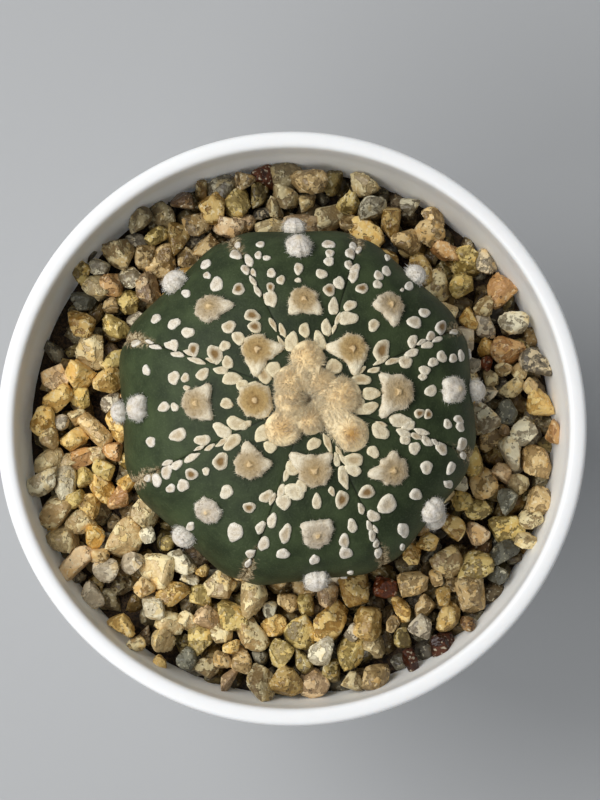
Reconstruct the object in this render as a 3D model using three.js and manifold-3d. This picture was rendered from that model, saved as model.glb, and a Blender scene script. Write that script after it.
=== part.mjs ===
// A potted star cactus: a low, eight-ribbed body with felt tufts along its ridges and raised pale
// flecks between them, rooted in potting mix under a dressing of angular grit, in a round plastic pot.
//
// Millimetres, +Z up. The origin is the middle of the pot's foot, on the surface that it stands on.
// Directions are degrees from +X, anticlockwise from above.

import * as THREE from 'three';
import { mergeVertices } from 'three/addons/utils/BufferGeometryUtils.js';
import Module from 'manifold-3d';

const wasm = await Module();
wasm.setup();

// ---- Driving dimensions --------------------------------------------------------------------

const GAP = 0.3; // air between two pieces that would touch
const ROUND_SIDES = 56; // sides of the pot and of what fills it
const SAME_POINT = 1e-4; // corners closer than this are one corner

const POT = {
  height: 78,
  rimRadius: 45,
  lipRound: 1.3, // radius of the lip's rolled edge
  lipDrop: 5.5, // height of the lip's band
  lipFlare: 1.4, // how far the band's foot stands out from the wall
  lipSlope: [0.5, 1.4], // heights at which the band's foot turns out and then up
  wall: 1,
  mouthRadius: 42.4, // inside, from the lip down to the foot of its band
  mouthLevel: 72.5,
  baseRadius: 31,
  footWidth: 2.5,
  footHeight: 1.5,
  floorTop: 3,
};
const DRAIN = { middleRadius: 4, ringRadius: 3, ringCount: 6, ringPlace: 18, sides: 10 };

const MIX_TOP = 63.5; // level of the potting mix
const BED_TOP = 66.6; // level of the packed grit that the top stones sit in

const STONES = {
  seed: 41,
  spacing: 6.5,
  stray: 0.5, // from their even places
  radius: [3.3, 3.9], // smallest and largest
  flatness: [0.48, 0.7], // height as a share of width
  level: [67, 68.3], // height of their middles
  roughness: 0.16, // how far each corner strays, as a share
  margin: 2.6, // from the pot's wall to the middles of the outermost ring
  innermost: 20, // radius past which the plant covers every ring
  underPlant: 0.84, // how far in under the plant they go, as a share of its radius
};

// The body's side view is a superellipse about its widest level, tighter below than above.
const BODY = {
  middle: [0.46, 3.16], // of the widest level, from the pot's axis
  level: 76,
  rise: 16, // widest level to crown
  fall: 14, // how it closes in below
  power: 2.4,
  lean: [1.7, 0.3], // sideways shift of the crown
  flatSides: 1.1, // 1 makes straight sides between the grooves, more makes them hollow
  creaseDepth: 2.4,
  creaseWidth: 0.9,
  creaseSharpness: 0.9, // below 1 is sharper than a plain exponential
  creaseStart: 0.3, // share of the way out at which the creases are full
  dipDepth: 0.8, // hollow at the crown
  dipWidth: 0.12, // its width, as a share of the way out
};

// The eight ribs, anticlockwise. `groove` is the direction of the groove on a rib's clockwise side
// and `corner` is the body's radius there. `areoles` are distances from the crown along the ridge.
// A fleck is [share of the way out, share across from ridge to groove, length, width].
const RIBS = [
  {
    groove: 26, corner: 28.7, areoles: [9.7, 18.8, 29.5, 39.5],
    flecks: [
      [0.48, -0.67, 3.0, 2.7], [0.72, -0.56, 2.1, 1.6],
      [0.85, -0.88, 2.4, 1.7], [0.88, -0.03, 2.2, 1.4], [0.49, 0.68, 2.3, 2.7],
    ],
  },
  {
    groove: 71, corner: 28.8, areoles: [6.8, 14.8, 25.1, 35],
    flecks: [
      [0.39, -0.69, 1.9, 2.8], [0.53, -0.83, 2.4, 1.7], [0.60, -0.62, 1.9, 1.8], [0.66, -0.85, 1.9, 1.8],
      [0.87, -0.52, 1.9, 1.8], [0.37, 0.82, 2.7, 2.0],
      [0.55, 0.84, 2.7, 1.9], [0.65, 0.65, 2.2, 1.4],
    ],
  },
  {
    groove: 113, corner: 29.1, areoles: [3.3, 10.5, 20.5, 31.5],
    flecks: [
      [0.47, -0.43, 1.8, 2.0], [0.54, -0.62, 2.0, 2.1], [0.69, -0.64, 1.8, 1.9], [0.79, -0.39, 2.4, 2.1],
      [0.93, -0.49, 2.6, 1.6], [0.47, 0.85, 1.8, 1.8], [0.56, 0.74, 2.4, 2.4],
      [0.56, 0.05, 2.0, 1.9], [0.67, 0.84, 1.9, 1.9], [0.80, 0.55, 1.9, 1.8],
    ],
  },
  {
    groove: 159, corner: 29.7, areoles: [7.8, 16.5, 27.6, 37],
    flecks: [
      [0.39, -0.74, 1.9, 1.8], [0.56, -0.68, 1.9, 1.8], [0.70, -0.51, 1.9, 1.9],
      [0.43, 0.70, 3.4, 2.6], [0.60, 0.80, 2.2, 1.8], [0.70, 0.52, 2.6, 2.0],
    ],
  },
  {
    groove: 205, corner: 29.1, areoles: [5.9, 12.8, 22.9, 33],
    flecks: [
      [0.56, -0.55, 2.4, 2.4], [0.72, -0.67, 1.8, 1.9], [0.79, -0.50, 2.0, 1.8],
      [0.56, 0.79, 1.9, 1.9], [0.65, 0.02, 2.1, 1.9], [0.79, 0.57, 3.5, 2.1],
    ],
  },
  {
    groove: 252, corner: 29.2, areoles: [4.4, 10.5, 20.1, 31.5],
    flecks: [
      [0.49, -0.57, 2.6, 2.6], [0.58, -0.80, 2.2, 2.0], [0.71, -0.58, 3.0, 1.8], [0.82, -0.52, 1.6, 2.1],
      [0.48, 0.85, 2.5, 1.5], [0.54, 0.01, 2.2, 1.5], [0.56, 0.58, 2.6, 1.8],
      [0.71, 0.66, 2.1, 1.5], [0.78, 0.42, 2.4, 1.6], [0.86, 0.48, 1.9, 2.0],
    ],
  },
  {
    groove: 298, corner: 28.9, areoles: [8.3, 16.2, 28, 37],
    flecks: [
      [0.46, -0.72, 2.3, 2.4], [0.59, -0.74, 2.1, 2.0], [0.70, -0.56, 3.0, 2.5], [0.79, -0.03, 2.2, 1.7],
      [0.88, -0.53, 3.1, 1.9], [0.43, 0.66, 2.0, 2.4],
      [0.74, 0.47, 1.9, 2.0], [0.87, 0.68, 1.8, 1.8], [0.92, 0.42, 2.8, 1.3],
    ],
  },
  {
    groove: 343, corner: 28.8, areoles: [5.1, 13.1, 22.9, 32],
    flecks: [
      [0.54, -0.80, 3.3, 2.2], [0.62, -0.50, 2.2, 1.4], [0.67, -0.01, 2.0, 1.6],
      [0.84, -0.50, 2.0, 1.6], [0.89, -0.88, 1.9, 2.0], [0.57, 0.77, 2.2, 1.8],
    ],
  },
];

// The body's rows from crown to soil in degrees down the superellipse, and the share of the way
// across each rib at which it has an edge, closer together beside the groove.
const ROWS = [8, 17, 26, 35, 44, 53, 62, 71, 80, 90, 100, 110];
const ACROSS = [-1, -0.93, -0.55, 0, 0.55, 0.93];
const DEGREE_STEP = 0.5; // for lengths and slopes measured on the skin
const CROWN_CAP = 12; // degrees down from the crown within which pads are laid flat
// The taproot below, each row [share of the body's radius, depth under the widest level].
const TAPROOT = [[0.74, 11], [0.45, 16.5], [0.2, 27], [0.07, 41]];
const ROOT_TIP = 44;
const RIB_FADE = 0.35; // how much of the ribbing is left on the taproot

// Pads on the skin. A ring is [share of the pad's outline, height over the skin].
const TUFT = {
  radius: 2.15,
  lobes: [136, 224], // directions of the two felt lobes, 180 being towards the crown
  lobeReach: 0.34, // how far they reach past the round, as a share of the radius
  lobeWidth: 20, // degrees
  rings: [[1, -0.8], [0.9, 0.7]],
  top: 1.15,
  turns: [0, 45, 90, 136, 165, 195, 224, 270, 315], // directions of the outline's corners
};
const FLECK = { rings: [[1, -0.6], [0.92, 0.22]], top: 0.34, sides: 6, seed: 7, unevenness: 0.14 };
// Slimmer flecks line the grooves, on alternate sides.
const LINING = { shares: [0.48, 0.63, 0.77], across: 0.93, length: 2.6, width: 1.1, sides: 4 };

// Crown wool: soft heaps round the crown, each [rib, distance from the crown, radius, height].
const WOOL_HEAPS = [
  [1, 6.4, 2.9, 1.7], [7, 5.2, 2.8, 1.8], [6, 7.4, 3.0, 1.7], [5, 4.6, 2.8, 1.8],
  [4, 6.0, 2.8, 1.7], [2, 3.6, 2.6, 1.8], [0, 3.8, 2.6, 1.8],
];
const WOOL = {
  seed: 5,
  sides: 8,
  unevenness: 0.08,
  shoulder: [0.85, 0.7], // share of a heap's outline and of its height
  middleDown: 0.5, // degrees down from the crown
  middleRadius: 5.2,
  middleHeight: 2,
};

const FINISHES = {
  pot: { color: 0xf0f0ee, roughness: 0.42 },
  mix: { color: 0x3a2b20, roughness: 0.95 },
  grit: { color: 0xa98a5c, roughness: 0.88 },
  skin: { color: 0x3c5341, roughness: 0.62 },
  wool: { color: 0xd9c091, roughness: 0.95 },
};

// ---- Small tools ---------------------------------------------------------------------------

const radians = THREE.MathUtils.degToRad;
const lerp = THREE.MathUtils.lerp;

/** Repeatable draws from 0 to 1, by a linear congruential rule. */
function seededDraws(seed) {
  const MULTIPLIER = 1664525;
  const STEP = 1013904223;
  const RANGE = 2 ** 32;
  let state = seed;
  return () => {
    state = (Math.imul(state, MULTIPLIER) + STEP) >>> 0;
    return state / RANGE;
  };
}

/** A closed geometry as a solid, with shared corners merged and flat triangles left out. */
function solidOf(geometry) {
  const bare = geometry.clone();
  bare.deleteAttribute('normal');
  bare.deleteAttribute('uv');
  const merged = mergeVertices(bare, SAME_POINT);
  const corners = merged.index.array;
  const kept = [];
  for (let i = 0; i < corners.length; i += 3) {
    const [a, b, c] = corners.subarray(i, i + 3);
    if (a !== b && b !== c && c !== a) kept.push(a, b, c);
  }
  return new wasm.Manifold(new wasm.Mesh({
    numProp: 3,
    vertProperties: new Float32Array(merged.attributes.position.array),
    triVerts: new Uint32Array(kept),
  }));
}

/** A solid's largest body as a geometry; loose scraps are dropped. */
function geometryOf(solid) {
  const bodies = solid.decompose();
  bodies.sort((a, b) => b.volume() - a.volume());
  const mesh = bodies[0].getMesh();
  const geometry = new THREE.BufferGeometry();
  geometry.setAttribute('position', new THREE.BufferAttribute(mesh.vertProperties, 3));
  geometry.setIndex(new THREE.BufferAttribute(mesh.triVerts, 1));
  geometry.computeVertexNormals();
  return geometry;
}

/** One named piece of the scene in its own finish. */
function piece(name, geometry, finish) {
  const material = new THREE.MeshStandardMaterial({ ...finish, metalness: 0 });
  const mesh = new THREE.Mesh(geometry, material);
  mesh.name = name;
  return mesh;
}

/** A profile of [radius, height] points turned about the pot's axis. */
function turned(profile) {
  const points = profile.map(([radius, height]) => new THREE.Vector2(radius, height));
  return new THREE.LatheGeometry(points, ROUND_SIDES).rotateX(Math.PI / 2);
}

/** A closed body: rings of points from a lowest point up to a highest one. */
function ringBody(lowest, rings, highest) {
  const sides = rings[0].length;
  const points = [lowest, ...rings.flat(), highest];
  const corners = [];
  const at = (row, side) => 1 + row * sides + (side % sides);
  for (let side = 0; side < sides; side += 1) {
    corners.push(0, at(0, side + 1), at(0, side));
    corners.push(points.length - 1, at(rings.length - 1, side), at(rings.length - 1, side + 1));
    for (let row = 0; row + 1 < rings.length; row += 1) {
      corners.push(at(row, side), at(row, side + 1), at(row + 1, side + 1));
      corners.push(at(row, side), at(row + 1, side + 1), at(row + 1, side));
    }
  }
  const geometry = new THREE.BufferGeometry().setFromPoints(points);
  geometry.setIndex(corners);
  return geometry;
}

// ---- The pot -------------------------------------------------------------------------------

/** Radius of the pot's inside at a height: a straight taper from floor to mouth. */
function insideRadius(height) {
  const share = (height - POT.floorTop) / (POT.mouthLevel - POT.floorTop);
  return lerp(POT.baseRadius - POT.wall, POT.mouthRadius, share);
}

/** The outline of the pot's half section, from the foot up the outside and down the inside. */
function potProfile() {
  const bandFoot = POT.height - POT.lipDrop;
  const wallAtBand = insideRadius(bandFoot) + POT.wall;
  const lip = new THREE.Path();
  lip.absarc(POT.rimRadius - POT.lipRound, POT.height - POT.lipRound, POT.lipRound, 0, Math.PI);
  const rolledEdge = lip.getPoints(2).map((point) => [point.x, point.y]);
  return [
    [0, POT.footHeight],
    [POT.baseRadius - POT.footWidth - POT.footHeight / 2, POT.footHeight],
    [POT.baseRadius - POT.footWidth, 0],
    [POT.baseRadius, 0],
    [wallAtBand, bandFoot],
    [wallAtBand + POT.lipFlare, bandFoot + POT.lipSlope[0]],
    [POT.rimRadius, bandFoot + POT.lipSlope[1]],
    ...rolledEdge,
    [POT.mouthRadius, POT.mouthLevel],
    [insideRadius(POT.floorTop), POT.floorTop],
    [0, POT.floorTop],
  ];
}

function potGeometry() {
  const drainAt = (radius, x, y) => {
    const bore = new THREE.CylinderGeometry(radius, radius, 4 * POT.floorTop, DRAIN.sides);
    return solidOf(bore.rotateX(Math.PI / 2).translate(x, y, 0));
  };
  let pot = solidOf(turned(potProfile())).subtract(drainAt(DRAIN.middleRadius, 0, 0));
  for (let i = 0; i < DRAIN.ringCount; i += 1) {
    const turn = (2 * Math.PI * i) / DRAIN.ringCount;
    const x = DRAIN.ringPlace * Math.cos(turn);
    const y = DRAIN.ringPlace * Math.sin(turn);
    pot = pot.subtract(drainAt(DRAIN.ringRadius, x, y));
  }
  return geometryOf(pot);
}

/** What fills the pot between two levels, a gap clear of its wall. */
function fillGeometry(low, high) {
  return turned([
    [0, low], [insideRadius(low) - GAP, low], [insideRadius(high) - GAP, high], [0, high],
  ]);
}

// ---- The cactus body -----------------------------------------------------------------------

/** The rib that a direction falls in, how far across it from ridge to groove, and its half width. */
function ribAt(direction) {
  const turn = THREE.MathUtils.euclideanModulo(direction - RIBS[0].groove, 360) + RIBS[0].groove;
  let index = RIBS.length - 1;
  while (RIBS[index].groove > turn) index -= 1;
  const rib = RIBS[index];
  const next = RIBS[(index + 1) % RIBS.length];
  const end = next.groove + (index + 1 === RIBS.length ? 360 : 0);
  const halfWidth = (end - rib.groove) / 2;
  const across = (turn - rib.groove) / halfWidth - 1;
  const corner = lerp(rib.corner, next.corner, THREE.MathUtils.smoothstep(across, -1, 1));
  return { across, halfWidth, corner };
}

/** The direction at a share across a rib, from -1 at its first groove to 1 at its second. */
function directionAcross(index, across) {
  const start = RIBS[index].groove;
  const end = RIBS[(index + 1) % RIBS.length].groove + (index + 1 === RIBS.length ? 360 : 0);
  return lerp(start, end, (across + 1) / 2);
}

/** Radius in plan: flat-sided between the grooves' corners, with a sharp crease in each groove. */
function planRadius(share, direction, ribbing = 1) {
  const { across, halfWidth, corner } = ribAt(direction);
  const half = radians(halfWidth);
  const side = 1 - Math.cos(half) / Math.cos(across * half);
  const fromGroove = (1 - Math.abs(across)) * half * share * corner;
  const sharp = Math.exp(-((fromGroove / BODY.creaseWidth) ** BODY.creaseSharpness));
  const crease = BODY.creaseDepth * sharp * Math.min(1, share / BODY.creaseStart);
  return share * corner * (1 - BODY.flatSides * share * side * ribbing) - crease * ribbing;
}

/** A point of the skin: `down` degrees down the superellipse from the crown, in a direction. */
function skinPoint(down, direction) {
  const share = Math.abs(Math.sin(radians(down))) ** (2 / BODY.power);
  const cosine = Math.cos(radians(down));
  const height = Math.sign(cosine) * Math.abs(cosine) ** (2 / BODY.power);
  const radius = planRadius(share, direction);
  const dip = BODY.dipDepth * Math.exp(-((share / BODY.dipWidth) ** 2));
  return new THREE.Vector3(
    BODY.middle[0] + BODY.lean[0] * height + radius * Math.cos(radians(direction)),
    BODY.middle[1] + BODY.lean[1] * height + radius * Math.sin(radians(direction)),
    BODY.level + height * (height > 0 ? BODY.rise : BODY.fall) - dip,
  );
}

/** The skin's frame at a point: its outward normal and the length of one degree each way. */
function skinFrame(down, direction) {
  const half = DEGREE_STEP / 2;
  const outward = skinPoint(down + half, direction).sub(skinPoint(down - half, direction));
  const onward = skinPoint(down, direction + half).sub(skinPoint(down, direction - half));
  return {
    normal: new THREE.Vector3().crossVectors(outward, onward).normalize(),
    outwardLength: outward.length() / DEGREE_STEP,
    onwardLength: onward.length() / DEGREE_STEP,
  };
}

/** Degrees down the superellipse at a distance from the crown along a rib's ridge. */
function downAtDistance(index, distance) {
  const direction = directionAcross(index, 0);
  let down = 0;
  for (let walked = 0; walked < distance; down += DEGREE_STEP) {
    walked += skinPoint(down + DEGREE_STEP, direction).distanceTo(skinPoint(down, direction));
  }
  return down;
}

/** The body with its taproot; `grow` pushes the whole skin out. */
function bodyGeometry(grow = 0) {
  const directions = RIBS.flatMap((_, index) => ACROSS.map((across) => directionAcross(index, across)));
  const lifted = (down, direction) => {
    const { normal } = skinFrame(down, direction);
    return skinPoint(down, direction).addScaledVector(normal, grow);
  };
  const skinRows = ROWS.map((down) => directions.map((direction) => lifted(down, direction)));
  const rootRows = TAPROOT.map(([share, depth]) => directions.map((direction) => {
    const radius = planRadius(share, direction, RIB_FADE) + grow;
    return new THREE.Vector3(
      BODY.middle[0] + radius * Math.cos(radians(direction)),
      BODY.middle[1] + radius * Math.sin(radians(direction)),
      BODY.level - depth,
    );
  }));
  const tip = new THREE.Vector3(...BODY.middle, BODY.level - ROOT_TIP - grow);
  const crown = skinPoint(0, 0).add(new THREE.Vector3(0, 0, grow));
  return ringBody(tip, [...rootRows.reverse(), ...skinRows.reverse()], crown);
}

// ---- Pads on the skin ----------------------------------------------------------------------

/**
 * A closed pad that follows the skin. `outline` holds [outward, onward] offsets in millimetres,
 * and each ring repeats it at a share of its size and a height over the skin.
 */
function padGeometry(down, direction, outline, rings, top) {
  const centre = skinPoint(down, direction);
  const { normal, outwardLength, onwardLength } = skinFrame(down, direction);
  const outwardAxis = skinPoint(down + DEGREE_STEP, direction).sub(centre).normalize();
  const onwardAxis = new THREE.Vector3().crossVectors(normal, outwardAxis);
  const overCrown = down < CROWN_CAP;
  const place = ([outward, onward], share, height) => {
    if (overCrown) { // directions crowd together here, so the pad is laid flat instead
      const point = centre.clone().addScaledVector(outwardAxis, outward * share);
      return point.addScaledVector(onwardAxis, onward * share).addScaledVector(normal, height);
    }
    const thereDown = down + (outward * share) / outwardLength;
    const thereDirection = direction + (onward * share) / onwardLength;
    return skinPoint(thereDown, thereDirection).addScaledVector(normal, height);
  };
  const loops = rings.map(([share, height]) => outline.map((offset) => place(offset, share, height)));
  const low = Math.min(...rings.map(([, height]) => height));
  return ringBody(
    centre.clone().addScaledVector(normal, low),
    loops,
    centre.clone().addScaledVector(normal, top),
  );
}

/** An areole's felt: round on the outer side, with two lobes that reach towards the crown. */
function tuftOutline(radius) {
  return TUFT.turns.map((turn) => {
    const offLobe = Math.min(...TUFT.lobes.map((lobe) => Math.abs(turn - lobe)));
    const reach = radius * (1 + TUFT.lobeReach * Math.exp(-((offLobe / TUFT.lobeWidth) ** 2)));
    return [reach * Math.cos(radians(turn)), reach * Math.sin(radians(turn))];
  });
}

/** An uneven oval, `length` along the rib and `width` across it. */
function ovalOutline(length, width, sides, unevenness, draw) {
  const start = draw() * 2 * Math.PI;
  return Array.from({ length: sides }, (_, i) => {
    const turn = start + (2 * Math.PI * i) / sides;
    const uneven = 1 + unevenness * (2 * draw() - 1);
    return [0.5 * length * uneven * Math.cos(turn), 0.5 * width * uneven * Math.sin(turn)];
  });
}

/** A pad's rings with those over the skin lifted by `grow`. */
function grownRings(rings, grow) {
  return rings.map(([share, height]) => [share, height > 0 ? height + grow : height]);
}

/** Whether one of the crown's wool heaps covers a place on a rib's ridge. */
function underWool(index, distance) {
  return WOOL_HEAPS.some(([rib, place, radius]) => rib === index && Math.abs(place - distance) < radius);
}

/** Every tuft outside the crown wool, grown by `grow` all round. */
function tuftSolids(grow = 0) {
  const outline = tuftOutline(TUFT.radius + grow);
  const rings = grownRings(TUFT.rings, grow);
  return RIBS.flatMap((rib, index) => rib.areoles
    .filter((distance) => !underWool(index, distance))
    .map((distance) => {
      const down = downAtDistance(index, distance);
      const ridge = directionAcross(index, 0);
      return solidOf(padGeometry(down, ridge, outline, rings, TUFT.top + grow));
    }));
}

/** The flecks of every rib and the slimmer ones that line the grooves, grown by `grow`. */
function fleckSolids(grow = 0) {
  const draw = seededDraws(FLECK.seed);
  const rings = grownRings(FLECK.rings, grow);
  const fleck = (sides, index, [share, across, length, width]) => {
    const down = THREE.MathUtils.radToDeg(Math.asin(share ** (BODY.power / 2)));
    const outline = ovalOutline(length + 2 * grow, width + 2 * grow, sides, FLECK.unevenness, draw);
    return solidOf(padGeometry(down, directionAcross(index, across), outline, rings, FLECK.top + grow));
  };
  const lining = LINING.shares.map((share, i) => (
    [share, i % 2 ? LINING.across : -LINING.across, LINING.length, LINING.width]
  ));
  return RIBS.flatMap((rib, index) => [
    ...rib.flecks.map((place) => fleck(FLECK.sides, index, place)),
    ...lining.map((place) => fleck(LINING.sides, index, place)),
  ]);
}

/** The crown's wool: a middle heap and one over each young areole. */
function woolSolid() {
  const draw = seededDraws(WOOL.seed);
  const heap = (down, direction, radius, height) => {
    const outline = ovalOutline(2 * radius, 2 * radius, WOOL.sides, WOOL.unevenness, draw);
    const rings = [[1, -GAP], [WOOL.shoulder[0], WOOL.shoulder[1] * height]];
    return solidOf(padGeometry(down, direction, outline, rings, height));
  };
  const heaps = WOOL_HEAPS.map(([index, distance, radius, height]) => (
    heap(downAtDistance(index, distance), directionAcross(index, 0), radius, height)
  ));
  return wasm.Manifold.union([...heaps, heap(WOOL.middleDown, 0, WOOL.middleRadius, WOOL.middleHeight)]);
}

// ---- The grit ------------------------------------------------------------------------------

/** One angular stone: a twenty-sided lump with strayed corners, tumbled and flattened. */
function stoneGeometry(x, y, draw) {
  const radius = lerp(...STONES.radius, draw());
  const lump = new THREE.IcosahedronGeometry(radius, 0).deleteAttribute('normal').deleteAttribute('uv');
  const stone = mergeVertices(lump);
  const corners = stone.attributes.position;
  for (let i = 0; i < corners.count; i += 1) {
    const stray = 1 + STONES.roughness * (2 * draw() - 1);
    corners.setXYZ(i, corners.getX(i) * stray, corners.getY(i) * stray, corners.getZ(i) * stray);
  }
  stone.rotateX(draw() * Math.PI).rotateY(draw() * Math.PI).scale(1, 1, lerp(...STONES.flatness, draw()));
  return stone.rotateZ(draw() * Math.PI).translate(x, y, lerp(...STONES.level, draw()));
}

/** Stones in rings from the wall inwards, with a little stray, wherever the plant leaves room. */
function stoneSolids() {
  const draw = seededDraws(STONES.seed);
  const stray = () => STONES.stray * (2 * draw() - 1);
  const ringPitch = STONES.spacing * Math.sqrt(0.75);
  const solids = [];
  let radius = insideRadius(BED_TOP) - STONES.margin;
  for (; radius > STONES.innermost; radius -= ringPitch) {
    const count = Math.round((2 * Math.PI * radius) / STONES.spacing);
    const start = draw();
    for (let i = 0; i < count; i += 1) {
      const turn = (2 * Math.PI * (i + start)) / count;
      const x = radius * Math.cos(turn) + stray();
      const y = radius * Math.sin(turn) + stray();
      const fromPlant = new THREE.Vector2(x - BODY.middle[0], y - BODY.middle[1]);
      const direction = THREE.MathUtils.radToDeg(fromPlant.angle());
      const hidden = fromPlant.length() < STONES.underPlant * planRadius(1, direction);
      if (!hidden) solids.push(solidOf(stoneGeometry(x, y, draw)));
    }
  }
  return solids;
}

// ---- Assembly ------------------------------------------------------------------------------

const cactus = wasm.Manifold.union([solidOf(bodyGeometry()), ...tuftSolids(), ...fleckSolids()]);
const plantRoom = wasm.Manifold.union([solidOf(bodyGeometry(GAP)), ...tuftSolids(GAP)]);
const woolRoom = wasm.Manifold.union([plantRoom, ...fleckSolids(GAP)]);
const mix = solidOf(fillGeometry(POT.floorTop + GAP, MIX_TOP));
const bed = solidOf(fillGeometry(MIX_TOP + GAP, BED_TOP));
const insidePot = solidOf(fillGeometry(MIX_TOP + GAP, POT.mouthLevel));
const grit = wasm.Manifold.union([bed, ...stoneSolids()]).intersect(insidePot);

const group = new THREE.Group();
group.add(
  piece('pot', potGeometry(), FINISHES.pot),
  piece('potting_mix', geometryOf(mix.subtract(plantRoom)), FINISHES.mix),
  piece('gravel', geometryOf(grit.subtract(plantRoom)), FINISHES.grit),
  piece('cactus', geometryOf(cactus), FINISHES.skin),
  piece('crown_wool', geometryOf(woolSolid().subtract(woolRoom)), FINISHES.wool),
);

export default group;
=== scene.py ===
# %% [markdown]
# # A potted star cactus, looked down on
#
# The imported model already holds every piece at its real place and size. This lesson gives those
# pieces the skin, felt, wool, stone and plastic that the eye expects. We work in millimetres and
# turn to Blender's metres only when a mesh is made.

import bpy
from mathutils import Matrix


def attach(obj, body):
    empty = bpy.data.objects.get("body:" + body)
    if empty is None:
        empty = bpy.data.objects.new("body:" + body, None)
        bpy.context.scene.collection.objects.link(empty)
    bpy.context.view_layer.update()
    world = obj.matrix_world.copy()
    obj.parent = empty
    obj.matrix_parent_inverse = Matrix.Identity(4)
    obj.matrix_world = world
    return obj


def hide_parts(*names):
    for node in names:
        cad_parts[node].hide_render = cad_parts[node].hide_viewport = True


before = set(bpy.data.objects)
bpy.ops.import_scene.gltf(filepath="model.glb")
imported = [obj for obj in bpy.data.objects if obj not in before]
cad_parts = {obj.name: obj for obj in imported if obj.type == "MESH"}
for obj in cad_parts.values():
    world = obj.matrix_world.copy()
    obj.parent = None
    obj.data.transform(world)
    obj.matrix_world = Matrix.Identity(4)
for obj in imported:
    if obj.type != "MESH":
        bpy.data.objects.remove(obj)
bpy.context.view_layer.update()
print("nodes in the frame:", sorted(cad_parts))

# %% What the rest of the lesson uses
import math

import bpy
import numpy as np
from mathutils import Vector

MM = 0.001  # metres in a millimetre


def linear(red, green, blue):
    """A screen colour of 0 to 255 as linear light: each part to the power 2.2."""
    return tuple((part / 255) ** 2.2 for part in (red, green, blue))


def full_turn(steps):
    """Angles in radians that share out a full turn evenly."""
    return np.linspace(0, 2 * np.pi, steps, endpoint=False)


def spokes(turn):
    """Directions in plan at angles in radians: the cosine along X and the sine along Y."""
    return np.stack([np.cos(turn), np.sin(turn)], -1)


def turned(x, y, angle):
    """Two coordinates after a turn: x cos - y sin and x sin + y cos."""
    return x * np.cos(angle) - y * np.sin(angle), x * np.sin(angle) + y * np.cos(angle)


def unit(vectors):
    """Vectors of length 1."""
    return vectors / np.linalg.norm(vectors, axis=-1, keepdims=True)


def raised(plan, level):
    """Plan positions with their levels, which may be one for all or one for each row."""
    level = np.broadcast_to(level, plan.shape[:-1])
    return np.concatenate([plan, level[..., None]], -1)


def ramp(values, start, end):
    """0 up to the start, 1 from the end, and even between; it falls if the end is lower."""
    return np.clip((values - start) / (end - start), 0, 1)


def bell(values, width):
    """A bell curve, 1 at nought: e to the power of minus the square of values / width."""
    return np.exp(-((values / width) ** 2))


def between(first, second, share):
    """Colours from the first to the second, a share for each point."""
    share = np.asarray(share)[..., None]
    return np.asarray(first) * (1 - share) + np.asarray(second) * share


print("a millimetre is", MM, "m")

# %% [markdown]
# ## Closed bodies made of rings
#
# A felt pad, a hair, a stone, the pot and the plant itself look unlike each other, but each is a
# closed body that can be sliced into rings: a low point, rings of points one above the other, and
# a high point. One function for the faces of such bodies serves them all, and it makes hundreds
# at once, so nothing below has to visit its points one by one.

# %% Faces and points of ring bodies
def ring_faces(count, rings, sides):
    """Triangles of `count` bodies: a fan round the low point, walls of two triangles for each side
    of each ring, and a fan round the high point. Rings run anticlockwise seen from the high
    point."""
    side = np.arange(sides)
    after = (side + 1) % sides
    row = 1 + sides * np.arange(rings - 1)[:, None]
    high = 1 + rings * sides
    last_row = high - sides
    low_fan = np.stack([0 * side, 1 + after, 1 + side], -1)
    walls = [
        np.stack([row + side, row + after, row + sides + after], -1),
        np.stack([row + side, row + sides + after, row + sides + side], -1),
    ]
    high_fan = np.stack([0 * side + high, last_row + side, last_row + after], -1)
    body = np.concatenate([low_fan, *(wall.reshape(-1, 3) for wall in walls), high_fan])
    return (body + (high + 1) * np.arange(count)[:, None, None]).reshape(-1, 3)


def in_order(low, rings, high):
    """Values of `count` bodies in the order that ring_faces counts them: low point, rings from low
    to high, high point. Shapes are (count, ...), (count, rings, sides, ...) and (count, ...)."""
    count, rows, sides = rings.shape[:3]
    flat = rings.reshape(count, rows * sides, *rings.shape[3:])
    return np.concatenate([low[:, None], flat, high[:, None]], axis=1)


print("a body of 3 rings of 14 sides has", len(ring_faces(1, 3, 14)), "triangles")


# %% From points and triangles to a piece on the frame
def new_piece(name, points, faces, finish, slot, stands_for=(), smooth=True, **layers):
    """Puts points in millimetres and triangles into an object that rides on the root body.
    A layer holds a number or a colour for every point, which the finish reads by name."""
    mesh = bpy.data.meshes.new(name)
    points = points.reshape(-1, 3)
    mesh.vertices.add(len(points))
    mesh.vertices.foreach_set("co", (points * MM).astype(np.float32).ravel())
    mesh.loops.add(faces.size)
    mesh.loops.foreach_set("vertex_index", faces.astype(np.int32).ravel())
    mesh.polygons.add(len(faces))
    mesh.polygons.foreach_set("loop_start", np.arange(0, faces.size, 3, dtype=np.int32))
    mesh.polygons.foreach_set("use_smooth", np.full(len(faces), smooth))
    mesh.update(calc_edges=True)
    for layer, values in layers.items():
        colour = values.size > len(points)
        kind, field = ("FLOAT_VECTOR", "vector") if colour else ("FLOAT", "value")
        kept = mesh.attributes.new(layer, kind, "POINT")
        kept.data.foreach_set(field, values.astype(np.float32).ravel())
    piece = bpy.data.objects.new(name, mesh)
    bpy.context.scene.collection.objects.link(piece)
    mesh.materials.append(finish.material)
    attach(piece, "root")
    for node in stands_for:
        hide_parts(node)
    size = points.max(0) - points.min(0)
    print(f"{name}: {len(faces)} triangles, {size[0]:.1f} x {size[1]:.1f} x {size[2]:.1f} mm")
    return piece


def ring_piece(name, points, sides, *finish_and_slot, **rest):
    """A piece made of ring bodies. How many bodies and rings it has follows from its points."""
    faces = ring_faces(len(points), (points.shape[1] - 2) // sides, sides)
    return new_piece(name, points, faces, *finish_and_slot, **rest)


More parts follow.
